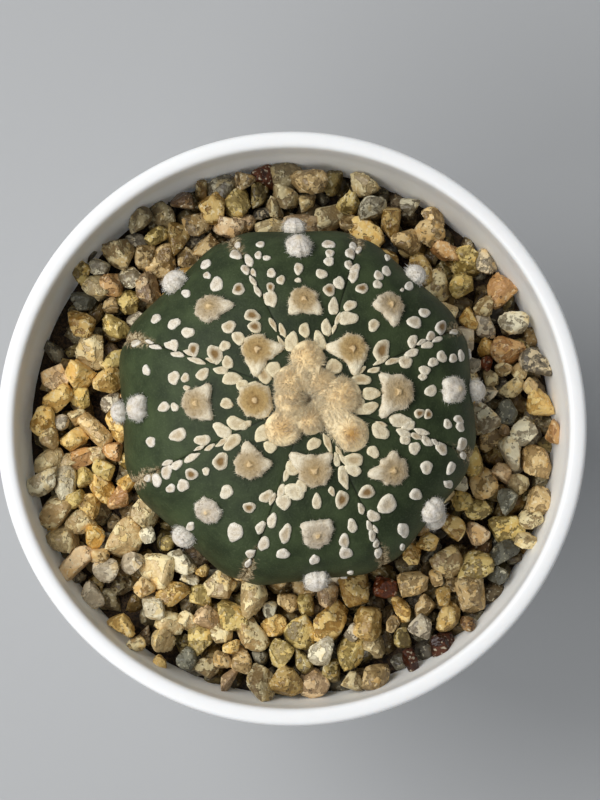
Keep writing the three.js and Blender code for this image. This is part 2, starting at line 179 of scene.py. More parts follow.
# %% [markdown]
# ## Finishes written as sums
#
# A finish is a graph of nodes, but a formula such as "grain times mask plus a half" is easier to
# read as a formula. So one class wraps a socket's number and turns Python's operators into Math
# nodes, and another makes every other node in one way: its type, its settings, then its sockets.

# %% A number that comes from a node
class Number:
    """A socket's number. Each operator adds one Math node and gives its result."""

    def __init__(self, finish, socket):
        self.finish, self.socket = finish, socket

    def _math(self, operation, *values):
        made = self.finish.node("ShaderNodeMath", {"operation": operation}, dict(enumerate(values)))
        return Number(self.finish, made.outputs[0])

    def __add__(self, other):
        return self._math("ADD", self, other)

    def __sub__(self, other):
        return self._math("SUBTRACT", self, other)

    def __rsub__(self, other):
        return self._math("SUBTRACT", other, self)

    def __mul__(self, other):
        return self._math("MULTIPLY", self, other)

    __radd__ = __add__
    __rmul__ = __mul__

    def rising(self, low, high):
        """0 up to `low`, 1 from `high`, and a smooth step between; it falls if `high` is lower."""
        flip = low > high
        ends = {"From Min": min(low, high), "From Max": max(low, high)}
        sides = {"To Min": float(flip), "To Max": float(not flip)}
        step = self.finish.node(
            "ShaderNodeMapRange",
            {"interpolation_type": "SMOOTHSTEP"},
            {"Value": self, **ends, **sides},
        )
        return Number(self.finish, step.outputs["Result"])


# %% A finish and its nodes
class Finish:
    """One material on the Principled shader, with its plain values set on the shader's sockets."""

    def __init__(self, name, **values):
        self.material = bpy.data.materials.new(name)
        self.material.use_nodes = True
        self.tree = self.material.node_tree
        self.shader = self.tree.nodes["Principled BSDF"]
        self.feed(self.shader, {key.replace("_", " "): value for key, value in values.items()})

    def node(self, kind, settings, sockets):
        """A new node of a type, with its settings and then the values or links of its sockets."""
        made = self.tree.nodes.new(kind)
        for name, value in settings.items():
            setattr(made, name, value)
        self.feed(made, sockets)
        return made

    def feed(self, node, sockets):
        """Links sockets to other sockets, or sets them to plain values."""
        for key, value in sockets.items():
            value = getattr(value, "socket", value)
            if isinstance(value, bpy.types.NodeSocket):
                self.tree.links.new(value, node.inputs[key])
            else:
                node.inputs[key].default_value = value

    def layer(self, name, output="Color"):
        """A layer of the mesh as a Color, as a Vector or as Fac, which is a Number."""
        socket = self.node("ShaderNodeAttribute", {"attribute_name": name}, {}).outputs[output]
        return Number(self, socket) if output == "Fac" else socket

    def place(self, shift=None):
        """Object coordinates, moved by a layer's vector if one is named."""
        place = self.node("ShaderNodeTexCoord", {}, {}).outputs["Object"]
        if shift is None:
            return place
        moved = self.node(
            "ShaderNodeVectorMath",
            {"operation": "ADD"},
            {0: place, 1: self.layer(shift, "Vector")},
        )
        return moved.outputs["Vector"]

    def noise(self, place, size, detail=2.0, rough=0.5):
        """Soft noise round a half, with lumps of about `size` millimetres."""
        sockets = {"Vector": place, "Scale": 1 / (size * MM), "Detail": detail, "Roughness": rough}
        return Number(self, self.node("ShaderNodeTexNoise", {}, sockets).outputs["Fac"])

    def mix(self, share, first, second, blend="MIX"):
        """A colour that goes from the first to the second with a share."""
        colours = [(*c, 1.0) if isinstance(c, tuple) else c for c in (first, second)]
        settings = {"data_type": "RGBA", "blend_type": blend}
        mixed = self.node("ShaderNodeMix", settings, {0: share, 6: colours[0], 7: colours[1]})
        return mixed.outputs[2]

    def bump(self, height, depth):
        """A normal that follows a height of 0 to 1 which stands for `depth` millimetres."""
        sockets = {"Height": height, "Distance": depth * MM, "Strength": 1.0}
        return self.node("ShaderNodeBump", {}, sockets).outputs["Normal"]


print("a finish starts from the Principled shader")

# %% [markdown]
# ## The skin as one formula
#
# The plant has eight ribs, and everything else sits on them: flecks, felt and wool. If the skin is
# a formula, each of those can ask it for a point and a normal and lie on it exactly. From the side
# the body is a superellipse, a rounded box of a curve. From above it is an octagon of almost flat
# sides whose corners are pinched in by sharp creases, the grooves. Each rib has its own direction
# and width, because growth is never quite even.

# %% Measures of the body
GROOVES = np.array([26, 71, 113, 159, 205, 252, 298, 343.0])  # directions, degrees from +X
CORNERS = np.array([28.7, 28.8, 29.1, 29.7, 29.1, 29.2, 28.9, 28.8])  # radius at each groove
MIDDLE = np.array([0.46, 3.16])  # where the body stands, from the pot's axis
LEVEL, RISE, FALL = 76.0, 16.0, 14.0  # widest level, height above it, depth below it
POWER = 2.4  # of the superellipse: 2 is round, more is boxier
LEAN = np.array([1.7, 0.3])  # sideways shift of the crown
FLAT_SIDES = 1.1  # 1 is straight between grooves, more is hollow
CREASES = [  # depth, width and sharpness
    (0.7, 0.26, 1.0),  # the fold itself
    (1.15, 2.1, 1.7),  # its shoulders
]
CREASE_START = 0.3  # share of the way out at which a crease has its full depth
DIP_DEPTH, DIP_WIDTH = 0.8, 0.12  # the hollow at the crown
TAPROOT = [(0.74, 11), (0.45, 16.5), (0.2, 27), (0.07, 41)]  # share of the radius, depth
ROOT_TIP, ROOT_RIBBING = 44, 0.35  # depth of the tip, and how much of the ribs the root keeps
print("ribs are", np.diff(GROOVES, append=GROOVES[0] + 360), "degrees wide")


# %% The skin's formula
def rib_at(direction):
    """How far across its rib a direction lies, -1 and 1 at the grooves and 0 on the ridge, the
    rib's half width in radians, and the corner radius eased from one groove to the next."""
    turn = (direction - GROOVES[0]) % 360 + GROOVES[0]
    rib = np.searchsorted(GROOVES, turn, side="right") - 1
    half = (np.append(GROOVES[1:], GROOVES[0] + 360)[rib] - GROOVES[rib]) / 2
    across = (turn - GROOVES[rib]) / half - 1
    eased = (across + 1) / 2
    eased = eased * eased * (3 - 2 * eased)
    corner = CORNERS[rib] + (np.roll(CORNERS, -1) - CORNERS)[rib] * eased
    return across, np.radians(half), corner


def plan_radius(share, direction, ribbing=1.0):
    """Share times the corner radius, less a side that runs nearly straight between the grooves,
    less a crease that fades with the distance from its groove."""
    across, half, corner = rib_at(direction)
    side = 1 - np.cos(half) / np.cos(across * half)
    from_groove = (1 - np.abs(across)) * half * share * corner
    crease = sum(depth * np.exp(-((from_groove / wide) ** sharp)) for depth, wide, sharp in CREASES)
    crease = crease * np.minimum(1, share / CREASE_START)
    return share * corner * (1 - FLAT_SIDES * share * side * ribbing) - crease * ribbing


def round_about(radius, direction, lean=0.0):
    """Plan position at a radius in a direction, about the middle moved by a share of the lean."""
    way = spokes(np.radians(direction))
    return MIDDLE + LEAN * np.asarray(lean)[..., None] + way * np.asarray(radius)[..., None]


def skin_point(down, direction):
    """The skin `down` degrees from the crown: share = sine and height = cosine of the angle, each
    to the power 2 / POWER, which is the superellipse, with a small dip at the crown."""
    down, direction = np.broadcast_arrays(np.asarray(down, float), direction)
    cosine = np.cos(np.radians(down))
    share = np.abs(np.sin(np.radians(down))) ** (2 / POWER)
    height = np.sign(cosine) * np.abs(cosine) ** (2 / POWER)
    level = LEVEL + height * np.where(height > 0, RISE, FALL) - DIP_DEPTH * bell(share, DIP_WIDTH)
    return raised(round_about(plan_radius(share, direction), direction, height), level)


CROWN = skin_point(0, 0)
print("the crown is at", CROWN.round(2), "mm")


# %% Lying on the skin
HALF_STEP = 0.25  # degrees, for slopes
FIRST_GUESS, GUESSES = 0.3, 8


def skin_frame(down, direction):
    """Normal, and the vectors of one degree outwards and one degree onwards, by differences."""
    outward = skin_point(down + HALF_STEP, direction) - skin_point(down - HALF_STEP, direction)
    onward = skin_point(down, direction + HALF_STEP) - skin_point(down, direction - HALF_STEP)
    normal = unit(np.cross(outward, onward))
    return normal, outward / (2 * HALF_STEP), onward / (2 * HALF_STEP)


def skin_under(x, y):
    """Degrees down and direction of the upper skin under a plan position. From a first guess of
    the share, each round puts the middle where the lean of that height has it, and then scales
    the share by radius / plan radius."""
    share = np.full(np.broadcast(x, y).shape, FIRST_GUESS)
    for _ in range(GUESSES):
        lean = (1 - share**POWER) ** (1 / POWER)
        across, along = x - MIDDLE[0] - LEAN[0] * lean, y - MIDDLE[1] - LEAN[1] * lean
        direction = np.degrees(np.arctan2(along, across))
        share *= np.hypot(across, along) / plan_radius(share, direction)
        share = np.clip(share, 1e-4, 0.999)
    return np.degrees(np.arcsin(share ** (POWER / 2))), direction


STEEP = 50  # degrees down from which offsets are taken along the skin, not in plan


def on_skin(down, direction, outward, onward, height):
    """Points at offsets along the skin from places on it, lifted along the normal there. Near the
    crown the offset point is dropped onto the skin in plan; further down it is turned to degrees
    by the length of a degree."""
    shape = np.broadcast(down, direction, outward, onward, height).shape
    down, direction = np.broadcast_to(down, shape), np.broadcast_to(direction, shape)
    _, long, wide = skin_frame(down, direction)
    offset = unit(long) * outward[..., None] + unit(wide) * onward[..., None]
    flat = skin_point(down, direction) + offset
    above = skin_under(flat[..., 0], flat[..., 1])
    beside = (
        down + outward / np.linalg.norm(long, axis=-1),
        direction + onward / np.linalg.norm(wide, axis=-1),
    )
    there = [np.where(down < STEEP, near, far) for near, far in zip(above, beside)]
    normal = skin_frame(*there)[0]
    return skin_point(*there) + normal * np.broadcast_to(height, shape)[..., None]


def ridge_of(rib, across=0.0):
    """The direction at a place across a rib."""
    rib = np.asarray(rib)
    ends = np.append(GROOVES, GROOVES[0] + 360)
    return ends[rib] + (ends[rib + 1] - ends[rib]) * (across + 1) / 2


def down_at(distance, direction):
    """Degrees down at a distance walked from the crown, by summing the skin's short steps."""
    steps = np.arange(0, 130, HALF_STEP)
    walk = skin_point(steps, np.asarray(direction)[..., None])
    walked = np.cumsum(np.linalg.norm(np.diff(walk, axis=-2), axis=-1), axis=-1)
    return HALF_STEP * (1 + np.sum(walked < np.asarray(distance)[..., None], axis=-1))


print("30 mm out is", down_at(30, 90.0), "degrees down")

# %% [markdown]
# ## The skin's mesh and finish
#
# Rows run from the crown down past the widest level and on into the taproot, which the grit and
# the mix hide. Columns crowd together at the grooves, where the skin folds sharply, and spread
# out on the ribs, where it hardly bends: a sine does that by itself.

# %% Skin mesh
COLUMNS = 56  # to a rib
TOP_ROWS, SIDE_ROWS = 44, 100
LAST_ROW = 128  # degrees down at which the taproot takes over
NO_GROOVE = 9.0  # millimetres from a groove, for points that shouldn't show one

turns = np.sin(np.linspace(-0.5, 0.5, COLUMNS, endpoint=False) * np.pi)
skin_directions = ridge_of(np.arange(8)[:, None], turns[None, :]).ravel()
top_rows = np.degrees(np.arcsin(np.linspace(0.01, 0.5, TOP_ROWS) ** (POWER / 2)))
skin_rows = np.concatenate([top_rows, np.linspace(top_rows[-1], LAST_ROW, SIDE_ROWS)[1:]])
skin_grid = skin_point(skin_rows[:, None], skin_directions[None, :])

root_share, root_depth = np.array(TAPROOT).T
root_plan = round_about(
    plan_radius(root_share[:, None], skin_directions[None, :], ROOT_RIBBING), skin_directions
)
root_grid = raised(root_plan, (LEVEL - root_depth)[:, None])

body_rings = np.concatenate([root_grid[::-1], skin_grid[::-1]])[None]
tip = np.array([[*MIDDLE, LEVEL - ROOT_TIP]])
skin_points = in_order(tip, body_rings, CROWN[None])

across, half, corner = rib_at(skin_directions)
share = np.sin(np.radians(np.minimum(skin_rows, 90))) ** (2 / POWER)
groove_distance = (1 - np.abs(across)) * half * corner * share[:, None]
row_down = np.broadcast_to(skin_rows[:, None], groove_distance.shape)


def skin_layer(at_tip, along_root, on_body):
    """A number for every point of the skin, from the taproot's tip up to the crown."""
    root = np.full(root_plan.shape[:2], along_root)
    return in_order(np.array([at_tip]), np.concatenate([root, on_body[::-1]])[None], np.zeros(1))


groove_layer = skin_layer(NO_GROOVE, NO_GROOVE, groove_distance)
down_layer = skin_layer(180.0, 169.0, row_down)  # the root counts as far down
print("skin rows and columns:", skin_grid.shape[:2])

# %% [markdown]
# The skin is a dark, matt, waxy green, a little greyer where its bloom is thick. It is darker near
# the crown, partly because it is young there and partly as painted shade among the flecks and under
# the wool. In each groove a thin dark line of painted shade marks the fold where two ribs meet. At
# the grooves' outer ends old skin has turned to cork: scurfy cream and brown patches that follow
# the groove down to the grit. Two layers of the mesh tell the finish where it is: the distance from
# the nearest groove and the degrees down from the crown.

# %% Skin finish
skin = Finish("cactus_skin", Roughness=0.6, Specular_IOR_Level=0.22)
skin_place = skin.place()
bloom = skin.noise(skin_place, 5.0, 5.0, 0.62)
grain = skin.noise(skin_place, 0.3, 2.0)
green = skin.mix(bloom.rising(0.32, 0.7), linear(45, 54, 34), linear(66, 77, 50))
green = skin.mix(grain.rising(0.5, 0.8) * 0.22, green, linear(104, 114, 84))

from_groove, below_crown = skin.layer("groove", "Fac"), skin.layer("down", "Fac")
# Darker near the crown: partly young skin, partly painted shade among the flecks and under the
# wool.
young = skin.mix(1.0, green, (0.52, 0.53, 0.5), "MULTIPLY")
green = skin.mix(below_crown.rising(6, 46), young, green)
ragged = skin.noise(skin_place, 1.1, 4.0, 0.65)
# Painted shade: a thin dark line in the fold of each groove.
groove_painted_shade = from_groove.rising(0.2, 0.05)
green = skin.mix(groove_painted_shade * 0.6, green, linear(24, 26, 19))
cork_reach = from_groove + (ragged - 0.5) * 4.6
cork = cork_reach.rising(1.4, 0.6) * (below_crown + (ragged - 0.5) * 60).rising(54, 68)
cork_grain = skin.noise(skin_place, 0.45, 3.0)
cork_colour = skin.mix(cork_grain.rising(0.4, 0.6), linear(112, 92, 62), linear(200, 182, 146))
skin.feed(skin.shader, {
    "Base Color": skin.mix(cork, green, cork_colour),
    "Roughness": 0.58 + cork * 0.3,
    "Normal": skin.bump(grain * 0.3 + cork * cork_grain * 1.4, 0.25),
})
ring_piece(
    "skin", skin_points, len(skin_directions), skin, "cactus_skin", stands_for=["cactus"],
    groove=groove_layer, down=down_layer,
)

# %% [markdown]
# ## Felt pads that follow the skin
#
# Flecks and areoles are pads of short felt. A pad is a round outline, shrunk ring by ring and
# lifted ring by ring, and each of its points is placed by its distance along the skin, so the pad
# bends over the rib like a plaster. Felt is matt and takes its colour from a layer of the mesh:
# cream at the rim, browner in the heart.

# %% Felt finish
def felt_finish(name, painted_shade, depth):
    """Felt in its layer's tone, with painted shade between the fibres, and lumps of a depth."""
    finish = Finish(name, Roughness=0.95, Specular_IOR_Level=0.15, Sheen_Weight=0.12)
    place = finish.place()
    fibres, clumps = finish.noise(place, 0.16, 2.0), finish.noise(place, 0.6, 2.0)
    tone = finish.layer("tone")
    shaded = finish.mix(1.0, tone, painted_shade, "MULTIPLY")
    finish.feed(finish.shader, {
        "Base Color": finish.mix((fibres * 0.5 + clumps * 0.5).rising(0.3, 0.62), shaded, tone),
        "Normal": finish.bump(fibres * 0.6 + clumps * 0.7, depth),
    })
    return finish


felt = felt_finish("plant_felt", (0.76, 0.71, 0.62), 0.2)
wool = felt_finish("crown_wool_felt", (0.93, 0.88, 0.8), 0.12)
print("felt reads the layer 'tone'")


# %% Pads
def pads(down, direction, outline, shares, heights, top):
    """Closed pads. `outline` holds offsets outwards and onwards for each side, `shares` and
    `heights` give each ring's size and its height over the skin, and `top` the middle's height."""
    shares = np.broadcast_to(shares, (len(down), np.shape(shares)[-1]))
    grown = outline[:, None] * shares[..., None, None]
    place = down[:, None, None], direction[:, None, None]
    heights = heights if heights.ndim > 2 else heights[None, :, None]
    rings = on_skin(*place, grown[..., 0], grown[..., 1], heights + 0 * grown[..., 0])
    nought = np.zeros(len(down))
    low = on_skin(down, direction, nought, nought, nought + heights.min())
    high = on_skin(down, direction, nought, nought, nought + top)
    return in_order(low, rings, high)


print("a pad's outline is given in millimetres along the skin")

# %% [markdown]
# ## Flecks
#
# Between the ridges the skin is dotted with raised flecks of white felt. Their places are what
# makes this plant this plant, so they are kept rib by rib, as a share of the way out from the
# crown, a share of the way across the rib, and a length and width in millimetres. A fifth number,
# 1, says that the heart is brown. Grooves are lined with a chain of slimmer, pointed flecks, and
# those are kept groove by groove.

# %% Places of the flecks
FLECKS = {
    0: [(0.48, -0.67, 3.0, 2.7, 1), (0.53, -0.01, 1.8, 1.7), (0.66, -0.86, 1.7, 1.7),
        (0.72, -0.56, 2.1, 2.0), (0.81, -0.53, 2.0, 1.5), (0.85, -0.88, 2.4, 1.9, 1),
        (0.88, -0.03, 2.2, 1.4), (1.00, -0.56, 3.3, 1.4), (0.22, 0.13, 2.3, 2.4),
        (0.49, 0.68, 2.3, 2.7), (0.56, 0.76, 1.8, 1.7), (0.67, 0.67, 1.7, 1.7, 1),
        (0.74, 0.44, 1.4, 1.4), (0.79, 0.50, 1.7, 1.4), (0.82, 0.02, 0.7, 0.5),
        (0.85, 0.42, 2.1, 1.4), (0.94, 0.50, 2.0, 1.1)],
    1: [(0.33, -0.62, 2.4, 2.2), (0.41, -0.78, 2.4, 1.7), (0.53, -0.83, 2.4, 1.7),
        (0.60, -0.64, 1.9, 1.8, 1), (0.66, -0.83, 1.9, 1.8), (0.68, -0.42, 1.6, 1.6),
        (0.76, -0.55, 1.5, 1.6), (0.81, -0.55, 1.4, 1.4), (0.87, -0.52, 1.9, 1.8),
        (0.33, 0.8, 2.9, 2.2), (0.36, 0.05, 2.0, 1.7), (0.58, 0.99, 2.7, 1.9),
        (0.63, 0.75, 1.9, 1.1, 1), (0.64, 0.10, 0.8, 0.9), (0.65, 0.48, 1.4, 1.3),
        (0.70, 0.63, 1.4, 1.4), (0.71, 0.06, 2.0, 1.4), (0.79, 0.62, 0.9, 1.1),
        (0.82, 0.74, 1.4, 1.1), (0.88, 0.63, 1.4, 1.2)],
    2: [(0.47, -0.43, 1.8, 2.0, 1), (0.53, -0.55, 2.0, 2.1, 1), (0.69, -0.64, 1.8, 1.9, 1),
        (0.79, -0.39, 2.4, 2.1), (0.87, -0.38, 1.5, 1.1), (0.93, -0.49, 2.6, 1.6),
        (0.24, 0.17, 2.2, 2.3), (0.47, 0.87, 1.8, 1.8), (0.51, 0.48, 1.5, 1.6),
        (0.54, 0.77, 2.4, 2.6, 1), (0.56, 0.05, 2.0, 1.9), (0.65, 0.86, 1.9, 1.9, 1),
        (0.71, 0.61, 1.9, 1.7), (0.75, 0.98, 1.5, 1.6), (0.80, 0.58, 1.9, 1.8),
        (0.88, 0.05, 1.9, 1.3), (0.90, 0.62, 2.0, 1.5), (0.28, 0.90, 2.6, 2.2),
        (0.48, 0.11, 2.0, 1.8)],
    3: [(0.31, -0.55, 2.2, 2.2), (0.36, -0.61, 1.8, 1.6), (0.42, -0.74, 2.5, 2.2),
        (0.56, -0.68, 1.9, 1.8), (0.63, -0.34, 1.2, 0.7), (0.64, -0.54, 1.3, 1.3),
        (0.70, -0.51, 1.9, 1.9), (0.85, -0.58, 1.4, 1.6), (0.42, 0.05, 2.0, 1.5),
        (0.41, 0.79, 2.4, 2.6), (0.49, 0.90, 2.2, 2.6), (0.60, 0.83, 2.2, 1.8),
        (0.70, 0.57, 2.6, 2.0), (0.70, 0.04, 1.2, 1.3), (0.76, 0.02, 2.1, 1.4),
        (0.85, 0.55, 1.8, 1.5)],
    4: [(0.56, -0.55, 2.4, 2.4, 1), (0.65, -0.56, 1.2, 1.1), (0.72, -0.67, 1.8, 1.9, 1),
        (0.79, -0.59, 2.0, 1.8), (0.85, -0.66, 1.7, 1.3), (0.93, -0.03, 2.3, 1.3),
        (0.32, 0.13, 1.8, 1.8), (0.56, 0.79, 1.9, 1.9), (0.64, 0.57, 1.6, 1.8, 1),
        (0.65, 0.02, 2.1, 1.9), (0.79, 0.57, 3.5, 2.2), (0.31, -0.48, 2.6, 2.3),
        (0.47, -0.80, 2.8, 2.0), (0.83, -0.92, 2.2, 1.8), (0.89, -0.87, 2.0, 1.8)],
    5: [(0.39, -1.00, 2.2, 2.0), (0.49, -0.57, 2.6, 2.9), (0.56, -0.78, 2.2, 2.2),
        (0.71, -0.60, 3.0, 1.8), (0.82, -0.57, 1.6, 2.1), (0.87, -0.05, 2.1, 1.4),
        (0.24, 0.07, 1.8, 2.0), (0.47, 0.86, 3.6, 1.7), (0.50, 0.42, 1.5, 0.9),
        (0.54, 0.01, 2.2, 1.5), (0.56, 0.61, 2.6, 2.0, 1), (0.71, 0.66, 2.1, 1.5),
        (0.78, 0.46, 2.4, 1.6), (0.85, 0.45, 2.1, 2.1), (0.97, 0.50, 1.2, 0.9),
        (1.00, 0.45, 1.0, 0.9), (0.46, -0.42, 2.2, 1.6), (0.28, 0.80, 3.0, 1.2),
        (0.38, 0.95, 2.0, 1.2)],
    6: [(0.41, -0.60, 2.3, 2.4), (0.46, -0.80, 2.1, 2.0), (0.59, -0.78, 2.1, 2.2, 1),
        (0.70, -0.56, 3.0, 2.7), (0.79, -0.03, 2.2, 1.7), (0.88, -0.56, 3.1, 1.9),
        (0.95, -0.69, 1.9, 0.9), (0.43, 0.69, 2.6, 2.4), (0.44, 0.02, 1.8, 1.7),
        (0.57, 0.78, 1.6, 1.7), (0.63, 0.68, 1.7, 1.9), (0.74, 0.47, 1.9, 2.0),
        (0.87, 0.68, 1.8, 1.8), (0.92, 0.46, 2.8, 1.3)],
    7: [(0.52, -0.85, 3.3, 2.2), (0.57, -1.00, 1.9, 1.6), (0.60, -0.53, 1.5, 1.4, 1),
        (0.65, -0.52, 1.4, 1.3, 1), (0.67, -0.01, 2.0, 1.6), (0.77, -0.64, 1.4, 1.4),
        (0.84, -0.52, 2.0, 1.3), (0.85, -0.63, 1.8, 1.4), (0.89, -0.90, 1.9, 2.1),
        (0.32, 0.78, 2.8, 1.9), (0.33, 0.02, 2.4, 2.0), (0.57, 0.77, 2.2, 1.8),
        (0.63, 0.31, 1.5, 0.9), (0.65, 0.45, 1.8, 1.4), (0.71, 0.57, 1.6, 1.4),
        (0.77, 0.63, 1.8, 1.6), (0.84, 0.55, 1.5, 1.4), (0.90, 0.56, 1.7, 1.6),
        (0.99, 0.58, 1.3, 1.4), (0.34, -0.58, 2.2, 2.0), (0.32, -0.82, 2.6, 1.4),
        (0.28, -0.55, 1.8, 2.0)],
}
placed = np.array([(rib, *fleck, 0)[:6] for rib, flecks in FLECKS.items() for fleck in flecks])
print("flecks placed by eye:", len(placed))

# %% Flecks that line the grooves
# For each groove: share of the way out, side (1 is anticlockwise of the groove), length, width.
LINING = {
    0: [(0.41, -1, 2.0, 1.0), (0.47, 1, 2.6, 1.0), (0.52, -1, 2.7, 1.0), (0.63, -1, 2.2, 1.3),
        (0.71, 1, 1.8, 0.8), (0.73, -1, 2.2, 1.1), (0.77, 1, 1.9, 1.2), (0.80, -1, 1.9, 0.9),
        (0.92, -1, 2.2, 0.9), (0.35, 1, 1.6, 0.9)],
    1: [(0.43, -1, 1.8, 0.7), (0.48, -1, 2.2, 0.9), (0.53, 1, 1.6, 0.7), (0.73, -1, 2.4, 1.5),
        (0.78, 1, 1.6, 1.2), (0.77, -1, 2.0, 1.3), (0.85, 1, 2.0, 1.6), (0.90, 1, 1.6, 1.3),
        (0.89, -1, 1.7, 0.9)],
    2: [(0.36, 1, 1.8, 0.9), (0.41, -1, 2.2, 1.1), (0.46, 1, 2.2, 1.0), (0.60, -1, 1.8, 0.7),
        (0.65, 1, 2.4, 0.9), (0.71, 1, 2.2, 0.8), (0.75, -1, 1.6, 0.8), (0.78, 1, 2.0, 1.2),
        (0.82, -1, 2.4, 1.3), (0.88, 1, 2.6, 1.5), (0.93, -1, 1.5, 0.9)],
    3: [(0.49, 1, 2.2, 1.3), (0.56, -1, 1.6, 0.7), (0.62, 1, 2.8, 1.0), (0.67, -1, 2.2, 0.8),
        (0.72, 1, 2.2, 1.0), (0.77, -1, 2.0, 1.2), (0.84, 1, 2.4, 0.8), (0.88, -1, 1.6, 0.6),
        (0.94, 1, 1.8, 1.2)],
    4: [(0.38, -1, 2.0, 1.2), (0.52, 1, 2.2, 1.0), (0.59, 1, 2.0, 0.8), (0.64, -1, 1.6, 0.7),
        (0.69, 1, 2.6, 1.2), (0.77, 1, 2.0, 1.3), (0.81, -1, 1.8, 0.9), (0.93, 1, 1.6, 1.0)],
    5: [(0.43, 1, 2.6, 1.0), (0.52, 1, 2.4, 1.2), (0.57, -1, 2.2, 0.9), (0.67, 1, 2.2, 1.5),
        (0.72, -1, 2.4, 1.3), (0.79, 1, 2.4, 1.6), (0.86, -1, 1.6, 1.3), (0.91, -1, 1.8, 0.9)],
    6: [(0.35, 1, 1.8, 0.8), (0.40, 1, 2.2, 1.0), (0.66, -1, 2.0, 1.0), (0.72, 1, 1.9, 1.7),
        (0.76, -1, 2.0, 0.9), (0.79, 1, 1.6, 0.7), (0.81, -1, 2.0, 1.2), (0.86, -1, 1.5, 1.0),
        (0.91, -1, 1.8, 1.4)],
    7: [(0.44, -1, 1.8, 0.8), (0.56, -1, 2.2, 1.4), (0.63, -1, 2.0, 1.0), (0.65, 1, 2.4, 1.1),
        (0.69, -1, 2.2, 1.3), (0.74, -1, 1.4, 0.8), (0.78, -1, 2.0, 1.8), (0.92, -1, 1.8, 1.1)],
}
lining = np.array([
    ((groove if side > 0 else groove - 1) % 8, share, -side, length, width, 0)
    for groove, row in LINING.items() for share, side, length, width in row
])
print("flecks along the grooves:", len(lining))

# %% Fleck pads
FLECK_SIDES, FLECK_GROWTH = 16, 1.07
FLECK_RINGS = np.array([1.0, 0.95, 0.68, 0.32])  # shares of the outline
FLECK_HEIGHTS, FLECK_TOP = np.array([-0.25, 0.2, 0.34, 0.27]), 0.24  # millimetres over the skin
HEART_OF_RING = np.array([0.0, 0.0, 0.45, 1.0])  # how much of the heart's colour a ring takes
WHITE_FELT, CREAM_FELT = linear(246, 240, 228), linear(246, 235, 200)
TAN_HEART, BROWN_HEART = linear(184, 160, 122), linear(136, 108, 70)
WAVES = (2, 0.1), (3, 0.08), (5, 0.04)  # of a fleck's outline: how many round it, how high
CROSSING = 0.02  # millimetres by which a fleck may reach over its groove
SLIM, POINTED = (1.2, 2.2), 0.4  # length over width from which ends are pointed, and how much
WHITER = 0.35, 0.85  # shares of the way out between which flecks turn white
HEARTS, PALER_HEARTS = (0.3, 1.0), 0.3  # how strong hearts are, and how much they fade outwards

draw = np.random.default_rng(7)
flecks = np.concatenate([placed, lining])
rib = flecks[:, 0].astype(int)
fleck_down = np.degrees(np.arcsin(np.minimum(flecks[:, 1], 1) ** (POWER / 2)))
half_width = np.radians(ridge_of(rib, 1.0) - ridge_of(rib, -1.0)) / 2
room = 1 - (0.5 * flecks[:, 4] - CROSSING) / (half_width * CORNERS[rib] * flecks[:, 1])
fleck_across = np.clip(flecks[:, 2], -room, room)  # no fleck lies across its groove

turn = full_turn(FLECK_SIDES)
wave = draw.uniform(0, 2 * np.pi, (3, len(flecks), 1))
uneven = 1 + sum(high * np.cos(many * turn + start) for (many, high), start in zip(WAVES, wave))
uneven = uneven * 0.5 * FLECK_GROWTH
pointed = 1 + POINTED * ramp(flecks[:, 3] / flecks[:, 4], *SLIM)[:, None]
way = spokes(turn)
rounder = np.sign(way) * np.abs(way) ** pointed[..., None]
outline = flecks[:, None, 3:5] * uneven[..., None] * rounder
fleck_points = pads(
    fleck_down, ridge_of(rib, fleck_across), outline, FLECK_RINGS, FLECK_HEIGHTS, FLECK_TOP
)

# %% Fleck colours
older = ramp(flecks[:, 1], *WHITER)[:, None]
rim_tone = between(CREAM_FELT, WHITE_FELT, older)
heart_tone = between(TAN_HEART, BROWN_HEART, flecks[:, 5, None])
heart_share = draw.uniform(*HEARTS, (len(flecks), 1)) * (1 - PALER_HEARTS * older)
heart_share = np.maximum(heart_share, flecks[:, 5, None])
ring_share = heart_share[:, :, None] * HEART_OF_RING[None, :, None]
ring_share = np.broadcast_to(ring_share, (len(flecks), len(FLECK_RINGS), FLECK_SIDES))
ring_tone = between(rim_tone[:, None], heart_tone[:, None], ring_share)
fleck_tone = in_order(
    rim_tone[:, 0], ring_tone, between(rim_tone, heart_tone, heart_share)[:, 0]
)
ring_piece("flecks", fleck_points, FLECK_SIDES, felt, "cactus_skin", tone=fleck_tone)

# %% [markdown]
# ## Areoles
#
# Each ridge carries a row of areoles, felt cushions from which the plant would grow spines and
# flowers. A cushion is round on its outer side and sends two lobes back towards the crown, like a
# broad arrow. Young ones are tan with a dark heart and a pimple in the middle. Old ones are grey
# white and swell up into balls, so with age the rings of a pad go from a cushion's to a ball's.
# They are written by rib: distance from the crown, radius, the reach of each lobe past the round
# as a share of the radius, and age from 0 to 1.

